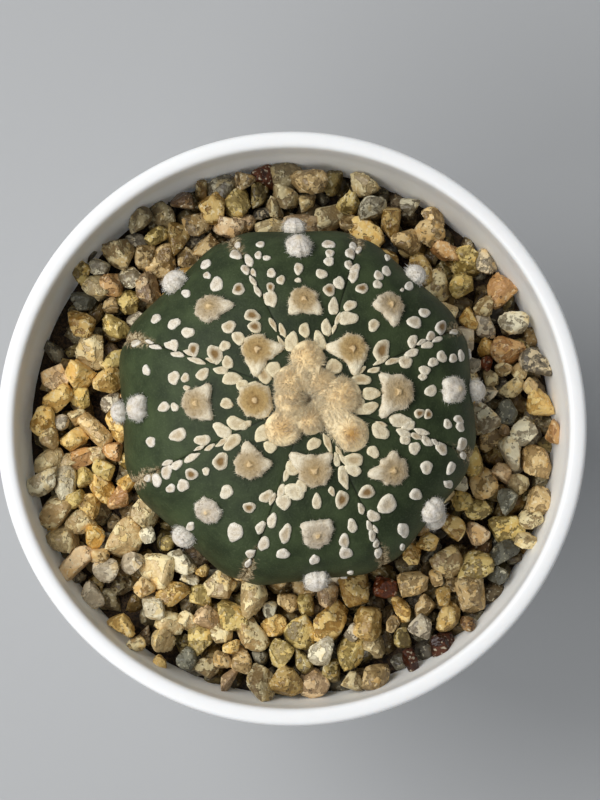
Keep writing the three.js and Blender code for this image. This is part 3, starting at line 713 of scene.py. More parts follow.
# %% Places of the areoles
AREOLES = {
    0: [(9.7, 2.3, 0.75, 0.72, 0.1), (18.8, 2.05, 0.38, 0.64, 0.55), (28.4, 1.65, 0.1, 0.1, 0.95),
        (39.5, 1.6, 0.1, 0.1, 1.0)],
    1: [(14.6, 2.1, 0.48, 0.58, 0.25), (24, 1.95, 0.08, 0.1, 0.9), (31, 1.6, 0.1, 0.1, 1.0)],
    2: [(10.3, 2.35, 0.74, 0.72, 0.1), (20.3, 2.2, 0.12, 0.6, 0.5), (30, 1.8, 0.15, 0.1, 0.95)],
    3: [(7.8, 2.55, 0.12, 0.15, 0.05), (16.5, 2.25, 0.45, 0.66, 0.45), (27, 1.8, 0.15, 0.45, 0.9),
        (33.6, 1.5, 0.1, 0.1, 1.0)],
    4: [(12.8, 2.25, 0.4, 0.6, 0.4), (22.7, 2.0, 0.05, 0.1, 0.75), (31, 1.7, 0.1, 0.1, 0.95)],
    5: [(10.5, 2.4, 0.48, 0.85, 0.35), (20.1, 2.2, 0.3, 0.46, 0.65), (30, 1.8, 0.15, 0.15, 0.95)],
    6: [(16.2, 2.25, 0.3, 0.7, 0.45), (26.8, 2.0, 0.12, 0.1, 0.9), (32.8, 1.6, 0.1, 0.1, 1.0)],
    7: [(13.1, 2.5, 0.48, 0.76, 0.4), (22.4, 2.0, 0.25, 0.37, 0.85), (29.2, 1.6, 0.1, 0.1, 1.0)],
}
LOBE_TURN, LOBE_WIDTH = 131, 19  # degrees from outwards, and half width
SCALLOPS = (2, 0.04), (7, 0.045), (11, 0.03)  # of the rim: how many round it, how high

areoles = np.array([(rib, *tuft) for rib, tufts in AREOLES.items() for tuft in tufts])
tuft_direction = ridge_of(areoles[:, 0].astype(int))
tuft_down = down_at(areoles[:, 1], tuft_direction)
print("areoles:", len(areoles), "from", tuft_down.min(), "to", tuft_down.max(), "degrees down")

# %% Areole pads
TUFT_SIDES = 48
CUSHION_RINGS = np.array([1.0, 1.0, 0.96, 0.88, 0.76, 0.6, 0.42, 0.28, 0.18, 0.12])
CUSHION_HEIGHTS = np.array([-0.5, 0.2, 0.52, 0.74, 0.86, 0.92, 0.9, 0.86, 0.94, 1.2])
BALL_HEIGHT, BALL_LIFT = 0.95, 0.4  # of an old areole, as shares of its radius
BALL_START, BALL_END = -50, 84  # latitudes of its first and last rings
BALL_AGE = 0.75, 0.95  # ages between which cushions turn into balls
FRINGE, TUFT_ROUGHNESS = 0.02, 0.05  # spread of the rim's reach, of the heights
TAN, EARTH, CREAM = linear(184, 154, 100), linear(122, 88, 44), linear(249, 237, 206)
PIMPLE = linear(238, 208, 160)
DUSTY, DUSTY_EDGE = linear(186, 168, 138), linear(232, 220, 196)
GREY_WHITE = linear(226, 219, 209)

draw = np.random.default_rng(11)
turn = full_turn(TUFT_SIDES)
degrees = np.degrees(turn)
lobes = sum(
    areoles[:, column, None] * bell(degrees - middle, LOBE_WIDTH)
    for column, middle in ((3, LOBE_TURN), (4, 360 - LOBE_TURN))
)
fringe = draw.normal(0, FRINGE, (len(areoles), TUFT_SIDES))
wave = draw.uniform(0, 6, (3, len(areoles), 1))
swell = sum(high * np.cos(many * turn + start) for (many, high), start in zip(SCALLOPS, wave))
reach = areoles[:, 2, None] * (1 + lobes + fringe + swell)
outline = reach[..., None] * spokes(turn)
rough = draw.normal(0, TUFT_ROUGHNESS, (len(areoles), len(CUSHION_RINGS), TUFT_SIDES))
rough = rough * CUSHION_RINGS[:, None]  # calmer in the middle
rough[:, 0] = 0  # the lowest ring is sunk in the skin
ball = ramp(areoles[:, 5], *BALL_AGE)[:, None]
rise = np.radians(np.linspace(BALL_START, BALL_END, len(CUSHION_RINGS)))
tuft_rings = CUSHION_RINGS * (1 - ball) + np.cos(rise) * ball
ball_heights = areoles[:, 2, None] * (BALL_LIFT + BALL_HEIGHT * np.sin(rise))
tuft_heights = CUSHION_HEIGHTS * (1 - ball) + ball_heights * ball
tuft_top = tuft_heights[:, -1] + 0.02
tuft_points = pads(
    tuft_down, tuft_direction, outline, tuft_rings, tuft_heights[:, :, None] + rough, tuft_top
)

# %% Areole colours and piece
HEART_ENDS, EDGE_STARTS = (0, 0.5), (0.72, 1.08)  # shares of the radius between which tones run
GROWN_AGE, OLD_AGE = (0, 0.5), (0.55, 0.9)  # ages between which tones give way to the next
NUB_SHARE = 0.8  # of the pimple's own colour

from_heart = tuft_rings[:, :, None] * reach[:, None] / areoles[:, 2, None, None]
wavering = from_heart + draw.normal(0, 0.04, from_heart.shape)


def felt_ring_tones(heart, middle, edge):
    """From the heart's colour to the middle's at half the radius, then to the edge's outside."""
    inner = between(heart, middle, ramp(wavering, *HEART_ENDS))
    return between(inner, edge, ramp(wavering, *EDGE_STARTS))


young = felt_ring_tones(EARTH, TAN, CREAM)
grown = felt_ring_tones(TAN, DUSTY, DUSTY_EDGE)
old = felt_ring_tones(DUSTY_EDGE, GREY_WHITE, WHITE_FELT)
age = areoles[:, 5, None, None]
tuft_tone = between(between(young, grown, ramp(age, *GROWN_AGE)), old, ramp(age, *OLD_AGE))
tuft_tone[:, -1] = between(tuft_tone[:, -1], PIMPLE, NUB_SHARE * (1 - ball))
heart = tuft_tone[:, -1].mean(1)
ring_piece(
    "areole_felt", tuft_points, TUFT_SIDES, felt, "felt",
    tone=in_order(tuft_tone[:, 0, 0], tuft_tone, heart),
)

# %% [markdown]
# ## Hairs
#
# Felt and wool get their softness from single hairs at the edges and over the top. A hair here is
# a three-sided spike that bends: cheap enough to have thousands. It needs a root, a direction, a
# bend and a length.

# %% Hairs
HAIR_SIDES = 3
HAIR_RINGS = (0.0, 1.0), (0.55, 0.75)  # how far along the hair, and what is left of its width


def hair_points(root, way, bend, length, width):
    """Rings of three points round root + way * s * length + bend * s^2 * length, with s from 0 at
    the root to 1 at the pointed tip, and a width that shrinks on the way."""
    side = unit(np.cross(way, [0.31, 0.17, 0.93]))
    other = np.cross(way, side)
    round_hair = spokes(full_turn(HAIR_SIDES)) @ np.stack([side, other], 1)
    rings = []
    for s, thin in HAIR_RINGS:
        middle = root + (way * s + bend * s * s) * length[:, None]
        rings.append(middle[:, None] + 0.5 * thin * width * round_hair)
    return in_order(root, np.stack(rings, 1), root + (way + bend) * length[:, None])


def same_all_over(values, points):
    """One value for each body, given to all of its points."""
    return np.repeat(values[:, None], points.shape[1], axis=1)


print("a hair has", len(ring_faces(1, len(HAIR_RINGS), HAIR_SIDES)), "triangles")


# %% Short hairs round and over the areoles
TUFT_HAIRS = 420  # to an areole
TUFT_HAIR_WIDTH, TUFT_HAIR_LENGTH = 0.04, (0.2, 0.45)
LONGER = 0.7  # by how much the hairs of the old ones are longer
draw = np.random.default_rng(12)
tuft = np.repeat(np.arange(len(areoles)), TUFT_HAIRS)
side = draw.integers(0, TUFT_SIDES, len(tuft))
ring = draw.integers(1, 7, len(tuft))
off = outline[tuft, side] * tuft_rings[tuft, ring][:, None]
lift = tuft_heights[tuft, ring] - 0.05
place = tuft_down[tuft], tuft_direction[tuft]
root = on_skin(*place, off[:, 0], off[:, 1], lift)
ahead = on_skin(*place, off[:, 0] * 1.1, off[:, 1] * 1.1, lift)
normal = skin_frame(*place)[0]
stand = (1.2 - tuft_rings[tuft, ring])[:, None]
way = unit(ahead - root) * (1.25 - stand) + normal * stand
way = unit(way + draw.normal(0, 0.4, root.shape))
length = draw.uniform(*TUFT_HAIR_LENGTH, len(tuft)) * (1 + LONGER * ball[tuft, 0])
bend = draw.normal(0, 0.2, root.shape) - normal * 0.1
points = hair_points(root, way, bend, length, TUFT_HAIR_WIDTH)
tone = tuft_tone[tuft, ring, side]
tone = np.clip(tone * draw.uniform(0.95, 1.3, (len(tuft), 1)), 0, 0.9)
ring_piece("areole_hairs", points, HAIR_SIDES, felt, "felt", tone=same_all_over(tone, points))

# %% [markdown]
# ## Crown wool
#
# The youngest areoles crowd together on the crown, and their wool runs into one star of soft
# heaps. Its height over the skin is a formula in polar form round the crown: the rim is where a
# ray leaves the last heap, and inside it each heap adds a mound. Then thousands of hairs, rooted
# on that surface and combed away from each heap's middle, hide the surface altogether. Round the
# growing tip they are short, and a few are darkened as painted shade of the hollow there.

# %% The wool's form
WOOL_HEAPS = np.array([  # rib, distance from the crown, radius, how brown its middle is
    (1, 6.1, 2.45, 0.2), (7, 4.9, 2.8, 0.15), (6, 8.1, 2.6, 1.0), (5, 3.4, 1.9, 0.1),
    (4, 5.8, 2.6, 0.6), (2, 3.5, 2.5, 0.0), (0, 3.2, 1.9, 0.0), (3, 2.8, 2.2, 0.1),
])
WOOL_SIDES, WOOL_ROWS = 96, 26
WOOL_BASE, WOOL_MOUND, MOUND_WIDTH, HIGHEST_MOUND = 0.95, 0.65, 0.75, 1.25
WOOL_DIMPLE, DIMPLE_WIDTH = 0.6, 0.5
LEAST_WOOL = 3.0  # radius of the star between its rays
WOOL_ROUGHNESS, RIM_SINK, WOOL_SINK = 0.05, 0.45, 0.6  # the last two: under the skin

heap_way = np.radians(ridge_of(WOOL_HEAPS[:, 0].astype(int)))
heap_middle = WOOL_HEAPS[:, 1, None] * spokes(heap_way)
heap_radius, heap_brown = WOOL_HEAPS[:, 2], WOOL_HEAPS[:, 3]


def wool_rim(direction):
    """How far a ray from the crown runs before it leaves the last heap that it crosses."""
    along = spokes(direction) @ heap_middle.T
    inside = heap_radius**2 - (heap_middle**2).sum(-1) + along**2
    leaves = np.where((inside > 0) & (along > 0), along + np.sqrt(np.maximum(inside, 0)), 0)
    return np.maximum(leaves.max(-1), LEAST_WOOL)


def from_heaps(offset):
    """Distances of a place from the heaps' middles, as shares of their radii."""
    return np.linalg.norm(offset[..., None, :] - heap_middle, axis=-1) / heap_radius


def wool_height(offset, share):
    """A low base that rounds off at the rim, a mound on each heap and a dimple at the crown."""
    mound = np.minimum(bell(from_heaps(offset), MOUND_WIDTH).sum(-1), HIGHEST_MOUND)
    edge = np.sqrt(np.clip(1 - share**5, 0, 1))
    dimple = bell(np.linalg.norm(offset, axis=-1), DIMPLE_WIDTH)
    return edge * (WOOL_BASE + WOOL_MOUND * mound) - WOOL_DIMPLE * dimple


def on_wool(offset, share, lift=0.0):
    """The wool's surface at a plan offset from the crown."""
    place = skin_under(CROWN[0] + offset[..., 0], CROWN[1] + offset[..., 1])
    height = wool_height(offset, share) + lift
    return skin_point(*place) + skin_frame(*place)[0] * height[..., None]


draw = np.random.default_rng(13)
wool_turn = full_turn(WOOL_SIDES)
wool_share = np.linspace(1, 0.03, WOOL_ROWS)[:, None]
rim = wool_rim(wool_turn)
wool_offset = (wool_share * rim)[..., None] * spokes(wool_turn)
rough = draw.normal(0, WOOL_ROUGHNESS, (WOOL_ROWS, WOOL_SIDES))
wool_rings = on_wool(wool_offset, wool_share, rough)
rim_down = on_wool(wool_offset[:1], wool_share[:1], -RIM_SINK)
wool_rings = np.concatenate([rim_down, wool_rings])[None]
wool_low, wool_high = CROWN[None] - [0, 0, WOOL_SINK], on_wool(np.zeros((1, 2)), np.zeros(1))
print("the wool reaches", rim.min().round(1), "to", rim.max().round(1), "mm from the crown")

# %% The wool's colours and piece
BROWN_WOOL, GOLD = linear(196, 152, 90), linear(252, 224, 170)
STRAW, PALE = linear(253, 234, 192), linear(255, 246, 222)
TIP_PAINTED_SHADE, TIP_WIDTH = linear(92, 70, 48), 0.8  # painted shade in the hollow at the growing tip, between the heaps
BROWN_MIDDLE, STRAW_STARTS = (0.6075, 0.1575), (0.4, 1.0)  # shares of a heap's radius


def wool_tone(offset):
    """Golden over the heaps, brown in the middle of a few, paler straw between and around, and
    darkened with painted shade in the hollow at the growing tip."""
    away = from_heaps(offset)
    nearest, away = away.argmin(-1), away.min(-1)
    tone = between(GOLD, BROWN_WOOL, heap_brown[nearest] * ramp(away, *BROWN_MIDDLE))
    tone = between(tone, STRAW, ramp(away, *STRAW_STARTS))
    return between(tone, TIP_PAINTED_SHADE, 0.85 * bell(np.linalg.norm(offset, axis=-1), TIP_WIDTH))


tones = wool_tone(np.concatenate([wool_offset[:1], wool_offset]))[None]
ring_piece(
    "wool", in_order(wool_low, wool_rings, wool_high), WOOL_SIDES, wool, "felt",
    stands_for=["crown_wool"], tone=in_order(tones[:, 0, 0], tones, tones[:, -1, 0]),
)

# %% Wool hairs
WOOL_HAIRS, WOOL_HAIR_WIDTH, WOOL_HAIR_LENGTH = 14000, 0.05, (0.6, 1.25)
OUTERMOST = 0.95  # of the area that the hairs are rooted in
SWIRL, COMBING = 1.1, 1.2  # radians by which the combing wanders, and its strength
STAND, DROOP = 0.42, 0.35  # how much the hairs rise at the root and sink towards their ends
TIP_SHADE_REACH = np.sqrt(1.8)  # how far from the growing tip a few hairs are darkened as painted shade
draw = np.random.default_rng(14)
angle = draw.uniform(0, 2 * np.pi, WOOL_HAIRS)
share = np.sqrt(draw.uniform(0.0, OUTERMOST, WOOL_HAIRS))
offset = (share * wool_rim(angle))[:, None] * spokes(angle)
root = on_wool(offset, share, -0.1)
nearest = np.linalg.norm(offset[:, None] - heap_middle, axis=-1).argmin(-1)
combed = offset - heap_middle[nearest]
combed = combed / (0.6 + np.linalg.norm(combed, axis=-1, keepdims=True))
swirl = SWIRL * np.sin(1.5 * offset[:, 0] + 0.8) + SWIRL * np.sin(1.2 * offset[:, 1] + 2.1)
combed = raised(np.stack(turned(*combed.T, swirl), -1), 0.0)  # neighbours lie the same way
way = unit(combed * COMBING + [0, 0, STAND] + draw.normal(0, 0.24, root.shape))
bend = draw.normal(0, 0.22, root.shape) + combed * 0.3 - [0, 0, DROOP]
length = draw.uniform(*WOOL_HAIR_LENGTH, WOOL_HAIRS) * (1.1 - 0.6 * share**3)  # short at the rim
from_tip = np.linalg.norm(offset, axis=-1)
length = length * (1 - 0.7 * bell(from_tip, 1.0))  # short ones round the growing tip
points = hair_points(root, way, bend, length, WOOL_HAIR_WIDTH)
tone = between(wool_tone(offset), PALE, draw.uniform(0, 0.6, WOOL_HAIRS))
tone = np.minimum(tone * draw.uniform(0.82, 1.04, (WOOL_HAIRS, 1)), 0.99)
# Painted shade: a few hairs round the growing tip are darkened.
tone[draw.uniform(size=WOOL_HAIRS) < 0.4 * bell(from_tip, TIP_SHADE_REACH)] *= 0.25
ring_piece("wool_hairs", points, HAIR_SIDES, wool, "felt", tone=same_all_over(tone, points))

# %% [markdown]
# ## Grit
#
# The grit is crushed rock: flat faces, blunt edges, and no two stones alike. A stone is made by
# cutting a ball with planes. In any direction the surface is at the nearest plane, and a soft
# minimum instead of a hard one blunts the edges. The stones that catch the eye have their places,
# widths and kinds written down. The rest are scattered by a seeded rule and pushed apart until
# they lie side by side, and smaller ones, darkened with painted shade, lie in the dark gaps under
# them. Stones are lighter and darker by chance, and a little by their place: painted light to the
# left, and painted shade to the front, to the back, to the back left and to the front right, where
# less light falls into the pot.

# %% Stones with a place of their own
# Each is (x, y, width) in millimetres, by kind of rock.
STONES = {
    "cream": [(-31.7, 12.2, 5.3), (-38.7, -4.6, 4.1), (-11.6, -24.4, 4.7), (-16.8, -29.7, 4.1),
        (-5.4, -39.2, 4.7), (-13.5, -37.3, 3.8), (-27.3, 27.9, 5.7), (-24.5, 32.7, 4.1),
        (-1.1, 36.9, 4.4), (5, 34.1, 5.3), (34.2, 6.5, 3.8), (36.7, -14.4, 4.1), (8.6, -39.3, 3.8),
        (-20.4, -32.8, 3.6), (-24.4, -33.6, 2.8)],
    "pink": [(-37.3, 8.4, 4.1), (-34.3, -21.1, 6), (-10.4, -38.9, 3.5), (32.9, -7, 3.8),
        (28.4, -15.9, 4.1), (3.1, -39.2, 4.7)],
    "olive": [(-33.2, 4.8, 3.8), (-29.1, -6.2, 3.8), (-9.8, -28.6, 4.7), (-2.1, -34.6, 4.4),
        (-25.8, 20, 3.8), (-33.3, 24.9, 3.8), (27, 22.8, 4.4), (6, 39.3, 3.8), (8.8, -35.1, 5.3)],
    "ochre": [(-39, 1.3, 4.4), (-31.7, -12.3, 4.1), (-31, -17, 3.5), (-26.7, -30.2, 4.7),
        (-3.2, -31, 3.8), (11.7, -29.6, 5.3), (-20.6, -36.4, 2.6)],
    "rust": [(-33.8, -4.6, 3.8), (-27.2, -10.9, 3.8), (-28.4, 23.1, 4.1), (-17.3, 36, 4.1),
        (24, 28.2, 4.4), (32.8, 22.2, 5), (33.7, 12.8, 4.7), (40.9, -0.4, 3.5)],
    "white": [(-35.8, -8.4, 4.1), (-17.3, -20.5, 4.1), (-21.7, -28, 4.1), (12.5, 34.8, 3.8),
        (18, 35.4, 3.1), (36.5, 0.2, 5)],
    "quartz": [(-28.6, 4.5, 3.1), (-24.7, -20.6, 3.8), (-28.8, -21.7, 3.8), (30.1, 16.1, 4.1),
        (30.4, 5.6, 3.5), (19.7, -30.8, 3.8), (-31.5, -26.2, 4.2), (-34, 29, 2.8)],
    "tan": [(-23.4, -24.7, 3.1), (-20.4, 26.4, 5.3), (-15.6, 32.1, 4.4), (17.7, 30, 5.3),
        (21.9, 33.5, 3.5), (30.7, -1.9, 4.1), (38, -5.7, 5.7), (27.6, -26.3, 6), (-31.3, -0.2, 5)],
    "slate": [(-33.3, 20, 3.8), (32.3, -19.6, 4.6), (32.4, -22.8, 4.0), (33.2, -11.5, 3.8),
        (-16.9, -35.6, 3.1)],
    "maroon": [(-4.7, 40, 3.8), (30.4, 10.4, 2.2), (22.9, -33.8, 4.1), (18.2, -36, 3.5),
        (13.8, -24.6, 4.4)],
    "speckle": [(30.3, 26.6, 3.8), (38.3, 10.1, 4.7)],
}
# Kind of rock: colour of its crust, colour of its core, how common it is among the rest.
ROCKS = {
    "cream": (linear(255, 234, 178), linear(168, 138, 92), 0.24),
    "pink": (linear(255, 220, 168), linear(172, 138, 100), 0.07),
    "olive": (linear(236, 208, 130), linear(126, 104, 52), 0.17),
    "ochre": (linear(255, 218, 138), linear(176, 130, 58), 0.22),
    "rust": (linear(230, 184, 124), linear(140, 96, 54), 0.03),
    "white": (linear(255, 244, 208), linear(132, 116, 88), 0.08),
    "quartz": (linear(236, 220, 188), linear(138, 124, 102), 0.06),
    "tan": (linear(246, 212, 150), linear(136, 106, 62), 0.15),
    "slate": (linear(136, 134, 116), linear(92, 90, 76), 0.003),
    "maroon": (linear(132, 70, 34), linear(74, 34, 16), 0.003),
    "speckle": (linear(240, 218, 176), linear(70, 64, 56), 0.004),
}
kinds = list(ROCKS)
signature = np.array([(*stone, kinds.index(kind)) for kind, row in STONES.items() for stone in row])
print("stones with a place of their own:", len(signature))

# %% Scattering the rest
WALL_RADIUS = 41.75  # inside of the pot at the grit's level
TOP_LEVEL, UNDER_LEVEL = 69.1, 66.0
GRIT_LEAN = np.array([-0.028, -0.013])  # the grit is heaped to the front left: slope along X, Y
FILL_COUNT, FILL_RADIUS, FILL_START = 172, (1.3, 2.9), 25.5  # start: distance from the plant
UNDER_COUNT, UNDER_RADIUS, UNDER_START = 340, (1.4, 2.2), 24.0
SPREAD_RADIUS = 39.0
CLOSENESS = 0.9  # stones may overlap in plan by the rest, because they lie over each other
AT_WALL = 0.86  # share of its radius that a stone keeps from the wall
ROUNDS = 260  # of pushing stones apart


def scattered(count, sizes, fixed, inner, draw):
    """Plan places and radii of stones between the plant's foot and the wall. Every round, each
    pair that is too close moves apart along the line between them by half of what is missing;
    fixed stones stay, and the wall and the foot push strays back."""
    radius = np.concatenate([fixed[:, 2], draw.uniform(*sizes, count)])
    way = draw.uniform(0, 2 * np.pi, count)
    far = np.sqrt(draw.uniform(inner**2, SPREAD_RADIUS**2, count))
    place = np.concatenate([fixed[:, :2], far[:, None] * spokes(way)])
    for _ in range(ROUNDS):
        gap = place[:, None] - place[None]
        apart = np.linalg.norm(gap, axis=-1) + 1e-6
        lacking = np.maximum(0, CLOSENESS * (radius[:, None] + radius) - apart)
        np.fill_diagonal(lacking, 0)
        push = (gap / apart[..., None] * lacking[..., None] * 0.5).sum(1)
        place[len(fixed):] += push[len(fixed):]
        out = np.linalg.norm(place, axis=-1)
        keep = np.minimum(1, (WALL_RADIUS + 0.2 - AT_WALL * radius) / out)
        foot = np.linalg.norm(place - MIDDLE, axis=-1)
        outward = (place - MIDDLE) / foot[:, None] * np.maximum(0, inner - foot)[:, None]
        place[len(fixed):] = (place * keep[:, None] + outward)[len(fixed):]
    return place, radius


draw = np.random.default_rng(21)
fixed = np.column_stack([signature[:, :2], signature[:, 2] / 2])
top_place, top_radius = scattered(FILL_COUNT, FILL_RADIUS, fixed, FILL_START, draw)
under_place, under_radius = scattered(UNDER_COUNT, UNDER_RADIUS, fixed[:0], UNDER_START, draw)
print("top stones", len(top_place), "and", len(under_place), "under them")


# %% Stones cut by planes
PLANES, EDGE = 9, 60  # planes that cut a stone, and the sharpness of the soft minimum
PLANE_DISTANCE, FURTHEST = (0.52, 0.94), 1.3  # shares of the radius, and the most between planes
LUMPS, LUMP_HEIGHT, ROUGHNESS = 6, 0.06, 0.012  # waves over a stone, as shares of its radius
STRETCH = (1.0, 1.18), (0.86, 1.0), (0.66, 0.9)  # least and most, in length, width and height
TILTING = 0.35  # radians by which stones lie askew
WALL_TAPER = 0.178  # how much the pot's inside widens with height
LIGHTNESS, LIGHTEST = 1.31, 0.97  # of the crust, and the most that it may reach
CORE_LIGHTNESS, BY_CHANCE = 0.85, (0.55, 1.25)  # the latter from stone to stone
ALIKE, CRUST_ALIKE = 0.3, 0.7  # how much of each other's colour core and crust may take
SHIFT = 0.4  # metres by which a stone's pattern may be moved
# Painted light and shade by place: lighter to the left, darker to the front, the back, the back
# left and the front right.
PAINTED_LIGHT_LEFT = 0.0035  # lightness gained for each millimetre to the left
PAINTED_SHADE_FRONT_BACK = 0.00032, 0.0005  # lightness lost with the square of the way to the front, to the back
PAINTED_SHADE_ASKEW = 0.00045  # lightness lost towards the back left and the front right


def stone_points(place, level, radius, rings, sides, draw):
    """Stones on a grid of directions. Along each direction a plane at distance d with normal n is
    met at d / (direction . n), and the radius is the soft minimum over its planes, made uneven
    by the mean of some sine waves. The stone is then stretched, turned and put in place. Each
    plane has a number too, and a point's facet is the mean of those, weighted as the planes are."""
    count = len(place)
    polar = np.pi * np.arange(rings, 0, -1) / (rings + 1)
    circle = np.sin(polar)[:, None, None] * spokes(full_turn(sides))
    sphere = raised(circle, np.cos(polar)[:, None])
    ways = np.concatenate([[[0, 0, -1.0]], sphere.reshape(-1, 3), [[0, 0, 1.0]]])
    normals = unit(draw.normal(size=(count, PLANES, 3)))
    distance = draw.uniform(*PLANE_DISTANCE, (count, PLANES, 1))
    weight = np.exp(-EDGE * distance / np.maximum(normals @ ways.T, 0.08))
    facet = (weight * draw.uniform(0, 1, distance.shape)).sum(1) / weight.sum(1)
    reach = np.minimum(-np.log(weight.sum(1)) / EDGE, FURTHEST)
    waves = draw.normal(0, 3.2, (count, LUMPS, 3)) @ ways.T
    lumps = np.sin(waves + draw.uniform(0, 6.3, (count, LUMPS, 1))).mean(1)
    reach = reach * (1 + LUMP_HEIGHT * lumps) * draw.normal(1, ROUGHNESS, reach.shape)
    points = ways * reach[..., None]
    points = points / np.abs(points[..., :2]).max((1, 2))[:, None, None]
    stretch = np.stack([draw.uniform(*ends, count) for ends in STRETCH], -1)
    points = points * stretch[:, None] * radius[:, None, None]
    tilt, spin = draw.normal(0, TILTING, count), draw.uniform(0, 2 * np.pi, count)
    x, y, z = np.moveaxis(points, -1, 0)
    z, x = turned(z, x, tilt[:, None])
    x, y = turned(x, y, spin[:, None])
    x, y, z = x + place[:, :1], y + place[:, 1:], z + (level + place @ GRIT_LEAN)[:, None]
    wall = WALL_RADIUS + 0.4 + WALL_TAPER * (z - TOP_LEVEL)
    pressed = np.minimum(1, wall / np.hypot(x, y))  # nothing pokes through the pot's wall
    return np.stack([x * pressed, y * pressed, z], -1), facet


def stone_layers(kind, place, points, draw, light):
    """Each stone's two colours, nearer each other in some than in others, with a lightness of its
    own times painted light and shade that follow its place, and a shift for its pattern."""
    light = light * draw.uniform(*BY_CHANCE, (len(kind), 1))
    x, y = place.T
    # Painted light and shade by the stone's place.
    painted_shade = np.where(y < 0, *PAINTED_SHADE_FRONT_BACK) * y**2 - PAINTED_SHADE_ASKEW * (x * y)
    light = light * (LIGHTNESS - PAINTED_LIGHT_LEFT * x - painted_shade)[:, None]
    pale, dark = (np.array([ROCKS[name][part] for name in kinds])[kind] for part in (0, 1))
    alike = draw.uniform(0, ALIKE, (2, len(kind)))
    layers = {
        "tone": between(pale, dark, alike[0] * CRUST_ALIKE) * np.minimum(light, LIGHTEST),
        "patch": between(dark, pale, alike[1]) * light * CORE_LIGHTNESS,
        "shift": draw.uniform(-SHIFT, SHIFT, (len(kind), 3)),
    }
    return {name: same_all_over(values, points) for name, values in layers.items()}


commonness = np.array([ROCKS[name][2] for name in kinds])
commonness /= commonness.sum()
print("kinds of rock:", ", ".join(kinds))

# %% [markdown]
# The rock is rotten granite: a pale crust that has come off in patches and shows a darker core.
# Some faces of a stone have kept more crust than others, so a facet's number moves the threshold
# at which the noise turns into crust. Ochre stains and painted glints, which stand in for
# highlights, lie on the crust, light grains in the core, and dark pits in both, each of them noise
# with a threshold of its own. Every stone moves the noise by a shift, so that no pattern runs on to
# the next.

# %% Rock finish
rock = Finish("grit_rock", Roughness=0.85, Specular_IOR_Level=0.5)
rock_place = rock.place("shift")
facet = rock.layer("facet", "Fac")
lump = rock.noise(rock_place, 1.7, 3.0, 0.55)
grit = rock.noise(rock_place, 0.5, 2.0, 0.55)
crust = (lump + facet * 0.18 + grit * 0.14).rising(0.635, 0.68)
grains = rock.noise(rock_place, 0.8, 2.0, 0.5).rising(0.5, 0.62)
stain = rock.noise(rock_place, 2.4, 2.0, 0.5).rising(0.5, 0.62)
# Painted highlights: small near-white glints on the crust.
painted_glints = rock.noise(rock_place, 0.6, 1.0, 0.5).rising(0.56, 0.66)
pits = rock.noise(rock_place, 0.9, 2.0, 0.6).rising(0.34, 0.28)
pale, dark = rock.layer("tone"), rock.layer("patch")
core = rock.mix(grains * 0.45, dark, pale)
cover = rock.mix(stain * 0.6, pale, rock.mix(1.0, pale, (0.86, 0.68, 0.36), "MULTIPLY"))
cover = rock.mix(painted_glints * 0.6, cover, rock.mix(0.55, pale, linear(255, 247, 214)))
rock_colour = rock.mix(crust, core, cover)
rock_colour = rock.mix(pits * 0.75, rock_colour, rock.mix(0.6, dark, (0.02, 0.014, 0.008)))
relief = facet * 0.7 + lump * 0.7 + grit * 0.35 + crust * 0.35 - pits * 0.5
rock.feed(rock.shader, {
    "Base Color": rock_colour,
    "Roughness": 0.34 + crust * 0.45,
    "Normal": rock.bump(relief, 0.45),
})
print("rock reads the layers 'tone', 'patch', 'shift' and 'facet'")

# %% Grit pieces
OWN_SIZE, FILL_SIZE, UNDER_SIZE = 1.22, 1.18, 1.25  # cut stones look smaller than they measure
OWN_GRID, FILL_GRID, UNDER_GRID = (20, 28), (12, 18), (6, 10)  # rings and sides of one stone
UNDER_PAINTED_SHADE = 0.3  # painted shade: the ones below are darkened to stand for the shade they lie in
TOP_SPREAD, UNDER_SPREAD = 0.45, 0.3  # of the levels of the stones' middles
draw = np.random.default_rng(22)


def stone_piece(name, kind, place, level, radius, grid, light=1.0, stands_for=()):
    """Cuts the stones, colours them and puts them on the frame as one piece."""
    points, facet = stone_points(place, level, radius, *grid, draw)
    ring_piece(
        name, points, grid[1], rock, "grit", stands_for=stands_for, facet=facet,
        **stone_layers(kind, place, points, draw, light),
    )


own, level = len(signature), TOP_LEVEL + draw.normal(0, TOP_SPREAD, len(top_place))
stone_piece(
    "stones", signature[:, 3].astype(int), top_place[:own], level[:own],
    top_radius[:own] * OWN_SIZE, OWN_GRID, stands_for=["gravel"],
)
kind = draw.choice(len(kinds), len(top_place) - own, p=commonness)
stone_piece(
    "small_stones", kind, top_place[own:], level[own:], top_radius[own:] * FILL_SIZE, FILL_GRID
)
kind = draw.choice(len(kinds), len(under_place), p=commonness)
level = UNDER_LEVEL + draw.normal(0, UNDER_SPREAD, len(under_place))
stone_piece(
    "under_stones", kind, under_place, level, under_radius * UNDER_SIZE, UNDER_GRID, UNDER_PAINTED_SHADE
)

# %% [markdown]
# Under the stones lies their bed, a ring of packed fines round the plant. Little of it shows, but
# it closes the view down between the stones. Its dark browns are partly the fines' own colour and
# partly painted shade of the deep gaps. Its section is a closed loop carried round the plant, so
# its faces wrap both ways.

# %% Bed
def wrapped_faces(rows, columns):
    """Triangles of a tube that closes both along and round: each cell joins to the next ones, and
    the last ones join to the first."""
    row, column = np.meshgrid(np.arange(rows), np.arange(columns), indexing="ij")
    here, beside, across, above = (
        ((row + i) % rows) * columns + (column + j) % columns
        for i, j in ((0, 0), (0, 1), (1, 1), (1, 0))
    )
    return np.concatenate([
        np.stack([here, beside, across], -1).reshape(-1, 3),
        np.stack([here, across, above], -1).reshape(-1, 3),
    ])


BED_LOW, BED_TOP, BED_RADIUS = 63.8, 65.8, 41.5
FOOT_SHARE, FOOT_GAP = 0.86, 0.3  # where the plant leaves the grit, and the room left round it
BED_SIDES, BED_ROWS, BED_ROUGHNESS = 180, 14, 0.12

